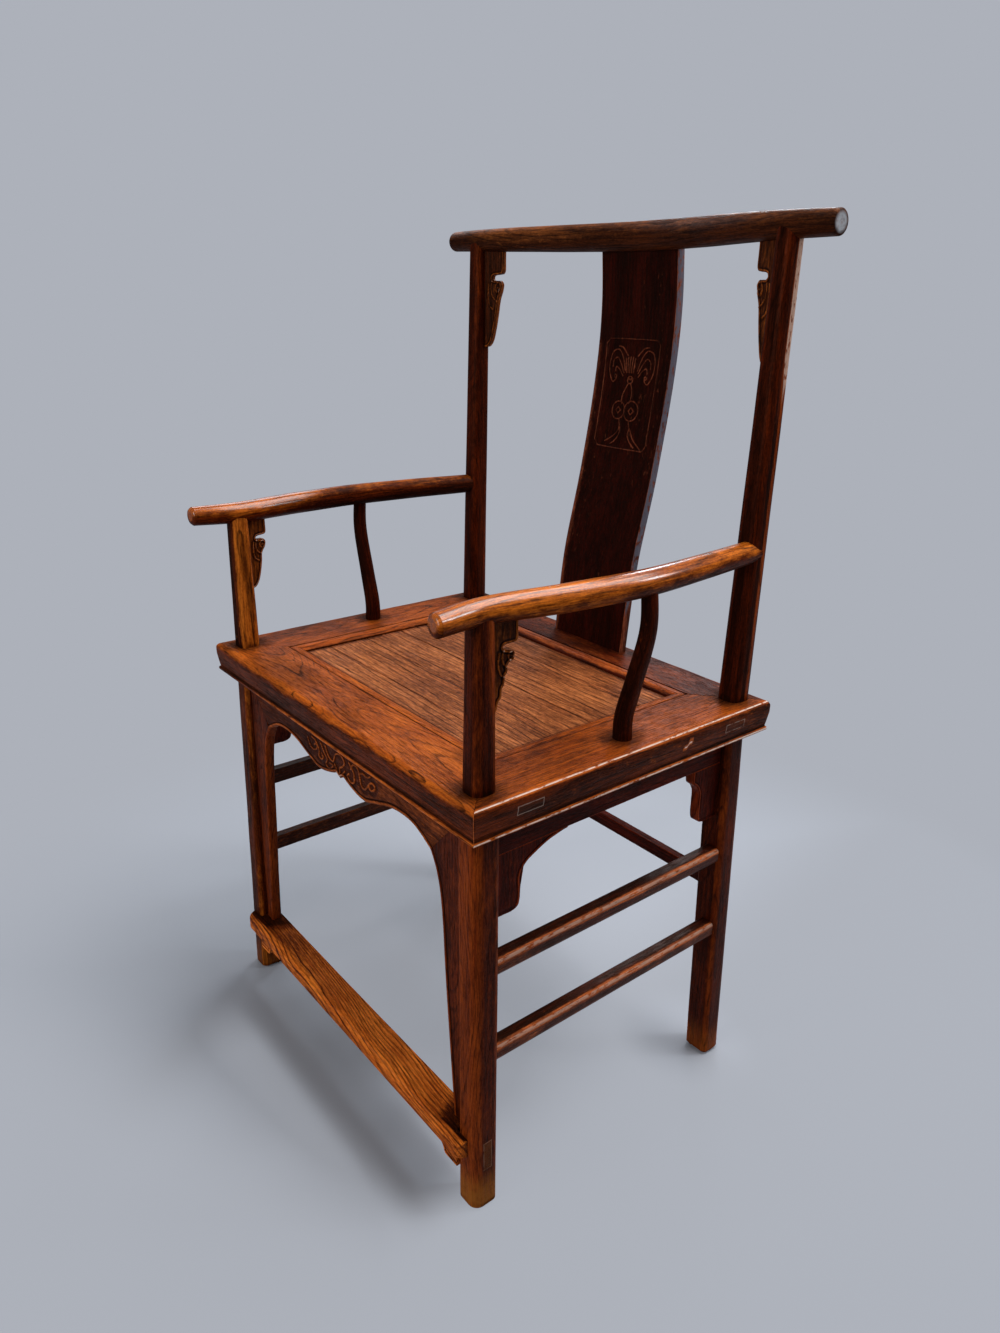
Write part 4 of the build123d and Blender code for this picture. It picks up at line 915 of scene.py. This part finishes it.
def edge_bead(edge, sample, wide=3.6, high=0.9):
    """A rounded bead along an edge, with the cut line that sets it off."""
    away = away_from([edge], sample)
    bead = cord(away - 0.9 - wide / 2, wide, high)
    cut = smooth(1.6, 0.2, np.abs(away - wide - 1.5))
    return bead - 0.5 * cut, 0.9 * smooth(0.5, 0.95, bead / high) - 0.9 * cut


def both_halves(line):
    """A line from the middle to the left, with its mirror image before it."""
    return np.vstack([(line * [-1, 1])[::-1], line[1:]])


# ---- Front apron ----
apron_edge = [
    (0, 433), (4, 435.2), (8, 437), (15, 434.2), (23, 431.5), (41, 427), (52, 426.2), (60, 426.8), (86, 434.8),
    (112, 443), (137, 445.7), (158, 443.7), (173, 437.8), (190, 428.5),
]
leg_edge = [
    (190, 428.5), (198, 415), (204, 399), (208, 380), (212, 345), (214.5, 304), (220, 228), (229, 127), (231.5, 98.2),
]
scrolls = [
    [(-78.5, 458), (-71, 448), (-63, 447), (-57, 450), (-54, 454), (-58, 457), (-62, 454)],
    [(-68, 463), (-58, 461), (-50, 452), (-51, 443), (-44, 441), (-40, 446), (-44, 449)],
    [(-46, 464), (-36, 452), (-30, 446), (-34, 439), (-28, 436), (-21, 438), (-16, 444), (-24, 444)],
    [(-34, 463), (-26, 452), (-16, 449), (-9, 461), (0, 465), (7, 464), (12, 458), (8, 452), (1, 447.5)],
    [(-12, 447), (-6, 441), (0, 437.5), (6, 441), (12, 447)],
    [(0, 447), (0, 438)],
    [(23, 463), (33, 453), (33, 441), (25, 438), (18, 444), (22, 448)],
    [(27, 456), (33, 464), (43, 463), (49, 446), (53, 442), (59, 443)],
    [(59, 443), (73, 457), (80, 455), (77, 449), (70, 447), (66, 451)],
    [(46, 458), (54, 461), (64, 460), (71, 464)],
]


def front_apron_carving(points):
    sample = points[..., [0, 2]]
    rise, rub = edge_bead(apron_lower, sample)
    away = away_from([curve_through(line, 40) for line in scrolls], sample)
    scroll = cord(away, 2.6, 1.3)
    sunk = smooth(9, 3, away) * smooth(2.5, 4.5, away_from([apron_lower], sample) - 2.5)
    return rise - 0.55 * sunk + scroll, rub + 0.9 * smooth(0.75, 1.2, scroll) - 0.55 * sunk * (scroll < 0.3)


apron_lower = both_halves(curve_through(apron_edge, 170))
plate(
    "front_apron", line_at(apron_lower[:, 0], apron_front, apron_lower[:, 1]),
    line_at(apron_lower[:, 0] * apron_reach / apron_edge[-1][0], apron_front, seat_under), (0, -1, 0),
    apron_thick, apron_elm, (0, 2, 1), (3100, -440, 210), front_apron_carving, cells=62, arris=0.6,
)


def make_apron_side(side, word):
    inner = curve_through(leg_edge, 190)
    outer_z = seat_under + (leg_edge[-1][1] - seat_under) * np.linspace(0, 1, len(inner))
    outer = np.c_[leg_middle(outer_z)[0] - leg_size / 2 + 0.4, outer_z]

    def bead(points):
        sample = np.abs(points[..., [0, 2]])
        rise, rub = edge_bead(inner, sample)
        from_leg = away_from([outer], sample)
        return rise - 0.8 * smooth(4.5, 1.0, from_leg), rub - 1.1 * smooth(5.0, 1.5, from_leg)

    plate(
        f"front_apron_side_{word}", line_at(inner[:, 0] * side, apron_front, inner[:, 1]),
        line_at(outer[:, 0] * side, apron_front, outer[:, 1]), (0, -1, 0), apron_thick, leg_elm,
        (2, 0, 1), (3900 + 300 * side, -side * 226, 207), bead, cells=34, arris=0.6,
    )


both(make_apron_side)


# ---- Side and rear aprons with their brackets ----
def make_side_apron(side, word):
    reach = np.linspace(-176.0, 176.0, 60)
    plate(
        f"side_apron_{word}", line_at(side * apron_side, reach, apron_bottom),
        line_at(side * apron_side, reach, seat_under), (side, 0, 0), apron_thick, dark_elm, (1, 2, 0),
        (4700 + 400 * side, -470, -side * 262), cells=10, arris=0.8,
    )


both(make_side_apron)


def bracket(name, line, count, top_end, place, normal, plank, shift):
    """A shaped bracket under an apron: line holds (out, height), which place sets in the chair."""
    lower = curve_through(line, count)

    def bead(points):
        out = points @ np.abs(np.cross(normal, (0, 0, 1)))
        same_side = np.sign(lower[0][0] + lower[-1][0]) * np.sign(out.mean())
        return edge_bead(lower, np.stack([out * same_side, points[..., 2]], -1), wide=2.6, high=0.5)

    plate(
        name, place(*lower.T), place(np.linspace(line[0][0], top_end, count), apron_bottom), normal, apron_thick,
        dark_elm, plank, shift, bead, cells=26, arris=0.8,
    )


bracket_foot = [(382, 141.8), (374.5, 144), (371.2, 151), (371, 164), (371, 176.8)]
front_bracket_edge = [
    (-76, 445.4), (-89.5, 442.8), (-104, 439), (-122, 431), (-135, 423), (-141.5, 412), (-141.5, 395),
] + [(-out, z) for z, out in bracket_foot]
rear_bracket_edge = [
    (127.5, 445.2), (127.6, 436), (129, 430), (136, 424), (141.0, 414), (141.5, 397),
] + [(out, z) for z, out in bracket_foot]


def make_side_brackets(side, word):
    for end, line, count, reach, seed, shift in (
        ("front", front_bracket_edge, 100, -176.2, 5300, 60), ("rear", rear_bracket_edge, 80, 176.2, 5800, -60),
    ):
        bracket(
            f"side_bracket_{end}_{word}", line, count, reach, lambda out, z: line_at(side * apron_side, out, z),
            (side, 0, 0), (2, 1, 0), (seed + 200 * side, shift, -side * 262),
        )


both(make_side_brackets)

reach = np.linspace(-243.7, 243.7, 70)
plate(
    "rear_apron", line_at(reach, -apron_front, apron_bottom), line_at(reach, -apron_front, seat_under), (0, 1, 0),
    apron_thick, dark_elm, (0, 2, 1), (6300, -470, -206), cells=10, arris=0.8,
)


def make_rear_bracket(side, word):
    bracket(
        f"rear_bracket_{word}",
        [(184.5, 442.2), (198, 438), (212, 428), (224, 412), (232, 394), (235, 380), (240, 372), (246, 371)],
        70, 244.2, lambda out, z: line_at(out * side, -apron_front, z), (0, 1, 0), (2, 0, 1),
        (6700 + 200 * side, 40, -206),
    )


both(make_rear_bracket)


# ---- Spandrels ----
spandrel_head = [
    (1.0, 0.0), (1.0, 0.1), (1.0, 0.195), (0.95, 0.222), (0.75, 0.236), (0.52, 0.242), (0.42, 0.255), (0.40, 0.275),
    (0.46, 0.294),
]
crest_spandrel_edge = spandrel_head + [
    (0.66, 0.298), (0.84, 0.304), (0.92, 0.34), (0.88, 0.40), (0.80, 0.455), (0.74, 0.50), (0.70, 0.56),
    (0.64, 0.66), (0.53, 0.80), (0.40, 0.92), (0.22, 0.985), (0.04, 1.0),
]
arm_spandrel_edge = spandrel_head + [
    (0.70, 0.296), (0.88, 0.306), (0.95, 0.345), (0.90, 0.41), (0.76, 0.47), (0.70, 0.52), (0.68, 0.60),
    (0.60, 0.74), (0.48, 0.87), (0.28, 0.97), (0.04, 1.0),
]
worn_spandrel_edge = spandrel_head + [
    (0.60, 0.305), (0.78, 0.315), (0.88, 0.35), (0.84, 0.40), (0.66, 0.44), (0.58, 0.48), (0.60, 0.53),
    (0.50, 0.58), (0.47, 0.67), (0.38, 0.72), (0.36, 0.80), (0.24, 0.86), (0.16, 0.95), (0.04, 1.0),
]
spandrel_curls = [
    [(0.88, 0.345), (0.78, 0.318), (0.64, 0.335), (0.60, 0.38), (0.70, 0.42), (0.82, 0.405), (0.80, 0.372),
     (0.72, 0.372)],
    [(0.42, 0.30), (0.36, 0.36), (0.40, 0.44), (0.56, 0.49), (0.70, 0.515)],
    [(0.24, 0.33), (0.20, 0.45), (0.30, 0.56), (0.50, 0.60)],
]


def make_spandrel(name, side, post, way, half_post, under, width, height, seed, edge, tone):
    """A cusped piece that hangs under a rail and runs out from a post; edge is in shares of its size."""
    way = np.array([*way, 0])
    across_way = np.cross(way, (0, 0, 1))
    origin = np.array([*post, 0]) + across_way * 4.0
    line = curve_through(edge, 130)
    out = half_post + line[:, 0] * width
    down = under + 3 * (1 - smooth(0, 0.2, line[:, 1])) - line[:, 1] * height
    root = np.full(len(out), half_post - 2.0)
    root_down = under + 3 - np.linspace(0, 1, len(out)) ** 1.1 * (height + 3)
    curls = [
        curve_through([(half_post + u * width, under - v * height) for u, v in curl], 24) for curl in spandrel_curls
    ]

    def place(u, z):
        return mirror_x(origin + np.outer(u, way) + line_at(0, 0, z), side)

    def bead(points):
        sample = np.stack([(mirror_x(points, side) - origin) @ way, points[..., 2]], -1)
        rise, rub = edge_bead(np.c_[out, down], sample, wide=2.0, high=0.4)
        away = away_from(curls, sample)
        curl = cord(away, 2.0, 0.9)
        keep = smooth(0, 0.1, (sample[..., 0] - half_post) / width)
        sunk = smooth(4.5, 1.5, away) * (curl < 0.2)
        return (rise + curl - 0.3 * sunk) * keep, rub + 0.9 * smooth(0.5, 0.9, curl) - 0.5 * sunk

    plate(
        name, place(root, root_down), place(out, down), mirror_x(across_way, side), 8.0, spandrel_elm, (2, 0, 1),
        (7300 + seed, 30, 5), bead, cells=22, arris=0.9, extra_wear_and_light=lambda rings: tone, both_faces=True,
    )


def make_spandrels(side, word):
    left, crest, arm = side > 0, math.radians(14.5), math.radians(8.5)
    make_spandrel(
        f"crest_spandrel_{word}", side, (rear_head_out, rear_head), (-math.cos(crest), math.sin(crest)), 12.5,
        crest_height - 14.3, 32, 129, 40 * side, crest_spandrel_edge, 0.05 if left else -0.3,
    )
    make_spandrel(
        f"arm_spandrel_{word}", side, (post_out, front_post), (math.sin(arm), math.cos(arm)), 12.2,
        arm_height - 11.8, 27, 93, 300 + 40 * side, worn_spandrel_edge if left else arm_spandrel_edge,
        0.0 if left else 0.25,
    )


both(make_spandrels)


# ---- Back splat ----
splat_curve = [(195, 524), (208, 641), (235, 765), (256.5, 905), (259.3, 975), (254.5, 1051.5)]
splat_foot, splat_height, splat_half = 524, 1046.0, 67.0


def ring_line(x, z, radius, count=40):
    """A small carved ring."""
    angle = np.linspace(0, 2 * math.pi, count)
    return np.c_[x + radius * np.cos(angle), z + radius * np.sin(angle)]


# a thin moulding with clipped corners, its sides slightly waisted
splat_frame = np.array([
    (-44.3, 928), (-20, 928.6), (20, 928.8), (41, 928.2), (46.3, 922.5), (46.0, 896), (45.6, 866.5), (46.0, 830),
    (46.8, 797), (41.5, 790), (20, 789.6), (-20, 789.6), (-41.5, 790), (-48.5, 797), (-48.5, 830), (-48.4, 859.2),
    (-49.0, 896), (-50.0, 922), (-44.3, 928),
])
# one wing of the bat, out from the middle
wing_lines = [
    [(11, 889), (17, 905), (26, 915), (36, 912), (40.5, 899), (38.5, 884), (31, 873.5), (25, 878)],
    [(13, 886), (20, 898), (27, 905), (33, 901), (34, 893)],
    [(14, 882), (21, 890), (27, 893), (29, 886)],
    [(9, 908), (14, 913), (20, 918), (27, 919)],
]
ribbon_lines = [
    [(-2, 873), (-5, 868), (-9.5, 858), (-10, 850), (-8.5, 847)],
    [(2, 873), (4.5, 868), (6.5, 858), (5.5, 850), (4, 848)],
    [(-9, 826), (-6.9, 818), (-8, 812), (-16, 804), (-29.2, 796.5)],
    [(-5.5, 817), (-5, 809), (-10, 800), (-18, 794)],
    [(9, 825), (11, 818), (14.4, 814), (21, 804), (37.5, 792)],
    [(12, 816), (11, 808), (16, 800), (25, 793)],
]


def splat_carving(points):
    """A bat over a string of two linked coins with their tassels."""
    sample = points[..., [0, 2]]
    x, z = sample[..., 0], sample[..., 1]
    inside = smooth(0, 2.5, 48 - np.abs(x + 1)) * smooth(0, 2.5, 70 - np.abs(z - 859.2))
    frame_cord = cord(away_from([splat_frame], sample), 2.2, 0.9)
    fan = [
        curve_through([(-2 + 6.0 * t, 886.5), (-2.6 + 7.8 * t, 897), (-3 + 8.6 * t, 906.5 - 1.8 * t * t)], 12)
        for t in (-1, -0.5, 0, 0.5, 1)
    ]
    wings = [curve_through(line) * [s, 1] for s in (-1, 1) for line in wing_lines]
    head = [ring_line(*ring) for ring in (
        (-27, 881, 2.0, 12), (27, 881, 2.0, 12), (0, 877.5, 4.6), (-2.0, 878.5, 0.9, 8), (2.0, 878.5, 0.9, 8),
    )]
    coins = [ring_line(-13.2, 838.3, 11.4), ring_line(9.8, 838.5, 12.6)]
    holes = [
        np.array([(u - r, 838.4), (u, 838.4 + r), (u + r, 838.4), (u, 838.4 - r), (u - r, 838.4)])
        for u, r in ((-13.2, 4.2), (9.8, 4.6))
    ]
    thin = cord(away_from(fan + wings + head, sample), 2.5, 1.1)
    bold = cord(away_from([curve_through(line) for line in ribbon_lines] + coins + holes, sample), 2.4, 1.1)
    lines = np.maximum(thin, bold)
    body = cord(np.hypot((x + 2) / 10.5, (z - 896) / 12.5), 2, 0.8)
    wing_hill = sum(cord(np.hypot((x - s * 26) / 15, (z - 894) / 21), 2, 0.6) for s in (-1, 1))
    rub = 0.75 * smooth(0.5, 0.9, np.maximum(lines, frame_cord)) - 0.35 * inside * (lines < 0.3)
    return -0.7 * inside + frame_cord + lines + body + wing_hill, rub


def make_splat():
    line = curve_through([(0, y, z) for y, z in splat_curve], 900)
    heights = np.concatenate([
        np.arange(splat_foot, 780, 3.5), np.arange(781, 936, 0.85), np.arange(937, splat_height, 3.5),
    ])
    front_y = np.interp(heights, line[:, 2], line[:, 1])
    low = line_at(-splat_half, front_y, heights)

    def edges(rings):
        """Rubbed brown down one front edge, and pale grey down the other side, a painted reflection."""
        x, z = rings[..., 0], rings[..., 2]
        brown = smooth(-56, -66, x) * smooth(985, 880, z)
        grey_reflection = smooth(66.0, 66.8, x) * smooth(560, 640, z)
        return 0.75 * brown + 1.25 * grey_reflection

    plate(
        "back_splat", low, mirror_x(low, -1), unit(line_at(0, -1, np.gradient(front_y, heights))), 11.0, splat_elm,
        (2, 0, 1), (8000, 12, -230), splat_carving, cells=160, arris=1.6, extra_wear_and_light=edges,
    )


make_splat()


# ---- Seat board ----
board_cracks = ((-98, 0.9), (-41, 0.6), (16, 1.2), (44, 0.5), (97, 0.8))


def make_seat_board():
    reach = np.linspace(-inner_side + 0.7, inner_side - 0.7, 110)

    def weathering(points):
        x, y = points[..., 0], points[..., 1]
        rise = 0.25 * np.sin(y / 23.0 + 0.8) + 0.12 * np.sin(x / 60 + y / 9)
        rub = np.zeros(x.shape)
        for place, depth in board_cracks:
            away = np.abs(y - place - 0.9 * np.sin(x / 70 + place) - 0.3 * np.sin(x / 17))
            gap = smooth(1.3, 0.2, away)
            rise = rise - depth * gap
            rub = rub - 0.9 * min(depth, 1) * gap
        rim = np.minimum(inner_side - np.abs(x), np.minimum(y + inner_front, inner_rear - y))
        return rise, rub - 0.8 * smooth(7, 1, rim)

    plate(
        "seat_panel", line_at(reach, -inner_front + 0.7, panel_top), line_at(reach, inner_rear - 0.7, panel_top),
        (0, 0, 1), 11.0, panel_elm, (0, 1, 2), (9000, 190, -520), weathering, cells=300, arris=0.8,
    )


make_seat_board()


# ---- Stretchers ----
def straight_bar(name, start, end, out, ring, rub, finish, shift):
    """A level bar from start to end, with its section given outward and upward."""
    start, end = np.array(start, float), np.array(end, float)
    share = np.linspace(0, 1, 70)[:, None]
    rings = (start + share * (end - start))[:, None, :] + ring[:, :1] * np.array(out) + ring[:, 1:] * [0, 0, 1]
    grain = line_at(share * np.linalg.norm(end - start), ring[:, 0], ring[:, 1]) + np.array(shift)
    rings = rings + wander(rings, 130, 0.25, int(abs(shift[0])) % 83 + 2)
    timber(name, rings, grain, rub, finish)


def arris_wear_and_highlight(ring, rub):
    """Dark on top and below, bright where the top turns over to the outer face: rubbed lacquer with a painted
    highlight.
    """
    facing = np.arctan2(ring[:, 1] / 11, ring[:, 0] / 8.75)
    return 1.05 * smooth(0.15, 0.55, facing) * smooth(1.15, 0.8, facing) - 0.6 * (ring[:, 1] > 10.9) + 0.1 * rub


def make_side_stretcher(side, word, level_word, z):
    x, y = leg_middle(z)
    x, y = side * (x + 4.6), y - leg_size / 2 + 1.0
    ring, rub = section(17.5, 22.0, (6.5, 1.2, 1.2, 6.5))
    straight_bar(
        f"side_stretcher_{level_word}_{word}", (x, -y, z), (x, y, z), (side, 0, 0), ring, arris_wear_and_highlight(ring, rub),
        stretcher_elm, (10000 + z * 3 + side * 200, 9, 6),
    )


both(make_side_stretcher, "upper", 316.5)
both(make_side_stretcher, "lower", 205.5)
reach = leg_middle(260.0)[0] - leg_size / 2 + 1
ring, rub = section(13.0, 18.5, (3, 1.2, 1.2, 3))
straight_bar(
    "rear_stretcher", (-reach, stretcher_rear, 260), (reach, stretcher_rear, 260), (0, 1, 0), ring,
    rub * 0.4 - 0.1, dark_elm, (12000, 8, 7),
)


# ---- Footrest ----
def footrest_ring(x, wear):
    """Section of the footrest at x, as (y, height, worn): a lip in front, and a stem below between the legs."""
    between = abs(x) < between_legs
    back = -185.5 if between else -213.6
    stem_front, stem_low = (-206.0, stem_under) if between else (back - 0.05, lip_under)
    ends = max(0.0, abs(x) - footrest_end + tip_round)
    front = footrest_front + tip_round - math.sqrt(max(tip_round ** 2 - ends ** 2, 0.2))
    low = min(2.5, (back - front) * 0.4)
    top_r = min(wear, 12.0, (back - front) * 0.7)
    darker = smooth(-40, -190, x)
    points = []
    for t in np.linspace(0, 1, 9):
        rub = 0.55 - 0.6 * darker - 1.3 * smooth(0.35, 0.0, t) * (not between)
        rub -= 1.5 * smooth(188 + 18 * t, 228 + 14 * t, abs(x))
        points.append((back + (front + top_r - back) * t, footrest_top, rub))
    for t in np.arange(1, 9) / 8:
        a = t * math.pi / 2
        rub = 0.5 - 0.4 * darker + 0.5 * math.sin(math.pi * t) - 0.7 * smooth(225, 250, abs(x))
        points.append((front + top_r * (1 - math.sin(a)), footrest_top - top_r * (1 - math.cos(a)), rub))
    face_top, face_low = footrest_top - top_r, lip_under + low
    points += [(front, face_top + (face_low - face_top) * t, 0.1) for t in (0.3, 0.6, 1.0)]
    for a in np.arange(1, 5) / 4 * math.pi / 2:
        points.append((front + low * (1 - math.cos(a)), lip_under + low * (1 - math.sin(a)), 0.6))
    points += [(front + low + (stem_front - front - low) * t, lip_under, -0.5) for t in (0.5, 1.0)]
    points += [(stem_front, lip_under + (stem_low - lip_under) * t, 0.0) for t in (0.5, 1.0)]
    points.append((back, stem_low - 0.02, 0.0))
    points += [(back + 0.01, stem_low + (footrest_top - stem_low) * t, 0.0) for t in (0.35, 0.7)]
    return np.array(points)


def make_footrest():
    quarter = np.linspace(0, math.pi / 2, 9)
    stations = np.concatenate([
        tip_round * (1 - np.cos(quarter)) - footrest_end, [-256, -between_legs - 0.1],
        np.linspace(0.1 - between_legs, between_legs - 0.1, 150), [between_legs + 0.1, 256],
        tip_round * (np.sin(quarter) - 1) + footrest_end,
    ])
    wear = 7.5 + 1.6 * np.sin(stations / 37.0) + np.sin(stations / 13.0 + 1)
    wear += 2.0 * np.exp(-((stations - 40) / 150) ** 2)
    profiles = np.array([footrest_ring(x, w) for x, w in zip(stations, wear)])
    rings = line_at(stations[:, None], profiles[..., 0], profiles[..., 1])
    hollow = 1.1 * np.exp(-(rings[..., 0] / 170) ** 2) * smooth(90, 97, rings[..., 2])
    rings[..., 2] -= hollow
    grain = grain_along(rings, (0, 1, 2), (13000, 285, -98))
    grain[..., 1] += 0.05 * rings[..., 0]
    rings = rings + wander(rings, 90, 0.25, 77) * (np.abs(rings[..., :1]) < 249)
    timber("footrest", rings, grain, profiles[..., 2], foot_elm, cap=0.8)


make_footrest()


def make_tenon_end(name, joint, x_low, x_high, normal, finish, shift, bare=1.0):
    """The end of a through tenon, flush with the face that it comes out of."""
    y, z, half_y, half_z = joint
    reach = np.linspace(y - half_y, y + half_y, 8)
    piece = plate(
        name, line_at(x_low, reach, z - half_z), line_at(x_high, reach, z + half_z), unit(np.array(normal)), 1.4,
        finish, (0, 1, 2), shift, cells=10, arris=0.25, cap=bare, face=bare, extra=True,
    )


def make_tenon_ends(side, word):
    _, z, _, half_z = footrest_joint
    low, high = (side * (leg_middle(h)[0] + leg_size / 2 + 0.12) for h in (z - half_z, z + half_z))
    make_tenon_end(
        f"footrest_tenon_{word}", footrest_joint, low, high, (side, 0, splay_side / seat_under), leg_elm,
        (14000 + 100 * side, 3, 2), 0.3,
    )
    for end, joint in zip(("front", "rear"), seat_joints):
        make_tenon_end(
            f"seat_tenon_{end}_{word}", joint, side * (half_width - 1.0), side * (half_width + 0.02),
            (side * 9.5, 0, -1.05), side_rail_elm, (14500 + 90 * side, 3, 2),
        )


both(make_tenon_ends)


def make_footrest_apron():
    inner = leg_middle(75)[0] - leg_size / 2
    edge = [(x, 62) for x in (0, 60, 120, 160, inner - 52)] + [(inner + x, z) for x, z in (
        (-42, 61.2), (-32, 57.5), (-26, 51), (-24, 46), (-22, 44.2), (-12, 44), (0.5, 44),
    )]
    lower = both_halves(curve_through(edge, 120))

    def bead(points):
        return edge_bead(lower, points[..., [0, 2]], wide=2.4, high=0.5)

    plate(
        "footrest_apron", line_at(lower[:, 0], -215.0, lower[:, 1]), line_at(lower[:, 0], -215.0, lip_under - 0.1),
        (0, -1, 0), 9.0, foot_elm, (0, 2, 1), (15000, -60, 212), bead, cells=22, arris=0.7,
    )


make_footrest_apron()


# ---- Battens under the board, left as they are built ----
for node in ("seat_batten_left", "seat_batten_right"):
    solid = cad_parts[node]
    solid.data.materials.clear()
    solid.data.materials.append(batten_elm)


# ---- Floor and light ----
backdrop_grey = paint(173, 177, 186)


def make_floor():
    mesh = bpy.data.meshes.new("floor")
    mesh.from_pydata([(-14, -14, 0), (14, -14, 0), (14, 14, 0), (-14, 14, 0)], [], [(0, 1, 2, 3)])
    floor = bpy.data.objects.new("floor", mesh)
    bpy.context.scene.collection.objects.link(floor)
    finish = bpy.data.materials.new("pale_floor")
    finish.use_nodes = True
    finish.node_tree.nodes.clear()
    b = Bench(finish.node_tree)
    place = b.add("ShaderNodeTexCoord").outputs["Object"]
    seen = b.add("ShaderNodeLightPath").outputs["Is Camera Ray"]

    def toward(x, y):
        return b.vector("DOT_PRODUCT", place, (x, y, 0))

    far = b.band(b.vector("LENGTH", b.stretch(place, (1, 1, 0))), 0.55, 1.1)
    front, from_side = toward(0, -1.0), toward(1.0, 0)
    ahead = b.band(toward(0.45, -1.0), 0.22, 0.5, 0.0, 0.85)
    beside = b.band(toward(1.0, 0.15), -0.02, 0.27, 0.0, 0.88)
    beyond = b.times(b.band(front, 0.255, 0.3, 0.0, 0.5), b.band(front, 0.4, 0.32))
    beyond = b.times(beyond, b.band(from_side, -0.25, -0.1))
    under = b.times(b.band(front, 0.19, 0.15), b.band(front, -0.12, 0.1, 0.15, 0.58))
    under = b.times(under, b.band(from_side, -0.42, -0.25))
    plain_share = b.most(b.most(ahead, beside), b.most(b.most(beyond, under), far))
    # the dark band close under the footrest, and the one by the rear foot
    hug = b.times(b.band(front, 0.19, 0.215), b.band(front, 0.31, 0.265))
    hug = b.times(hug, b.times(b.band(from_side, 0.29, 0.2), b.band(from_side, -0.38, -0.27)))
    rear_foot = b.vector("LENGTH", b.apart(b.stretch(place, (0.8, 1, 1)), (0.19, 0.18, 0)))
    hug = b.most(hug, b.band(rear_foot, 0.1, 0.02))
    fade = b.times(b.times(plain_share, b.less(1.0, hug)), seen)
    matt = b.add("ShaderNodeBsdfPrincipled", inputs={
        "Base Color": paint(167, 171, 180), "Roughness": 0.9, "Specular IOR Level": 0.1,
    })
    plain = b.add("ShaderNodeEmission", inputs={"Color": backdrop_grey, "Strength": 1.0})
    both_ways = b.add("ShaderNodeMixShader", inputs={0: fade, 1: matt.outputs[0], 2: plain.outputs[0]})
    b.add("ShaderNodeOutputMaterial", inputs={"Surface": both_ways.outputs[0]})
    mesh.materials.append(finish)


make_floor()


def softbox(name, place, target, size, power, tint=(1, 1, 1)):
    light = bpy.data.lights.new(name, "AREA")
    light.shape = "RECTANGLE"
    light.size, light.size_y = size
    light.energy = power
    light.color = tint
    holder = bpy.data.objects.new(name, light)
    bpy.context.scene.collection.objects.link(holder)
    back = unit(np.subtract(place, target, dtype=float))
    side_way = unit(np.cross((0, 1, 0) if abs(back[2]) > 0.9 else (0, 0, 1), back))
    turned = np.c_[side_way, np.cross(back, side_way), back]
    holder.matrix_world = Matrix([(*row, p) for row, p in zip(turned, place)] + [(0, 0, 0, 1)])


softbox("overhead", (0.5, 1.1, 3.2), (0, 0, 0.4), (2.6, 2.2), 104, (1.0, 0.99, 0.98))
softbox("front_window", (0.0, -3.2, 1.6), (0, 0, 0.6), (2.0, 1.8), 54, (1.0, 0.99, 0.97))
softbox("window_behind", (-1.4, 2.1, 2.2), (0, 0, 0.7), (0.6, 0.5), 16, (0.84, 0.92, 1.0))
softbox("window_beside", (-1.9, 0.6, 1.9), (0.27, -0.25, 0.72), (0.9, 0.9), 8, (0.84, 0.92, 1.0))
softbox("window_right", (1.55, 1.9, 2.0), (0.28, 0.0, 0.71), (0.42, 0.42), 14, (0.9, 0.96, 1.0))

world = bpy.data.worlds.new("room")
bpy.context.scene.world = world
world.use_nodes = True
world.node_tree.nodes.clear()
b = Bench(world.node_tree)
seen = b.add("ShaderNodeLightPath").outputs["Is Camera Ray"]
air = b.add("ShaderNodeBackground", inputs={"Color": (0.92, 0.96, 1.0, 1.0), "Strength": 0.18})
wall = b.add("ShaderNodeBackground", inputs={"Color": backdrop_grey, "Strength": 1.0})
mixed = b.add("ShaderNodeMixShader", inputs={0: seen, 1: air.outputs[0], 2: wall.outputs[0]})
b.add("ShaderNodeOutputWorld", inputs={"Surface": mixed.outputs[0]})

bpy.context.scene.view_settings.view_transform = "Standard"
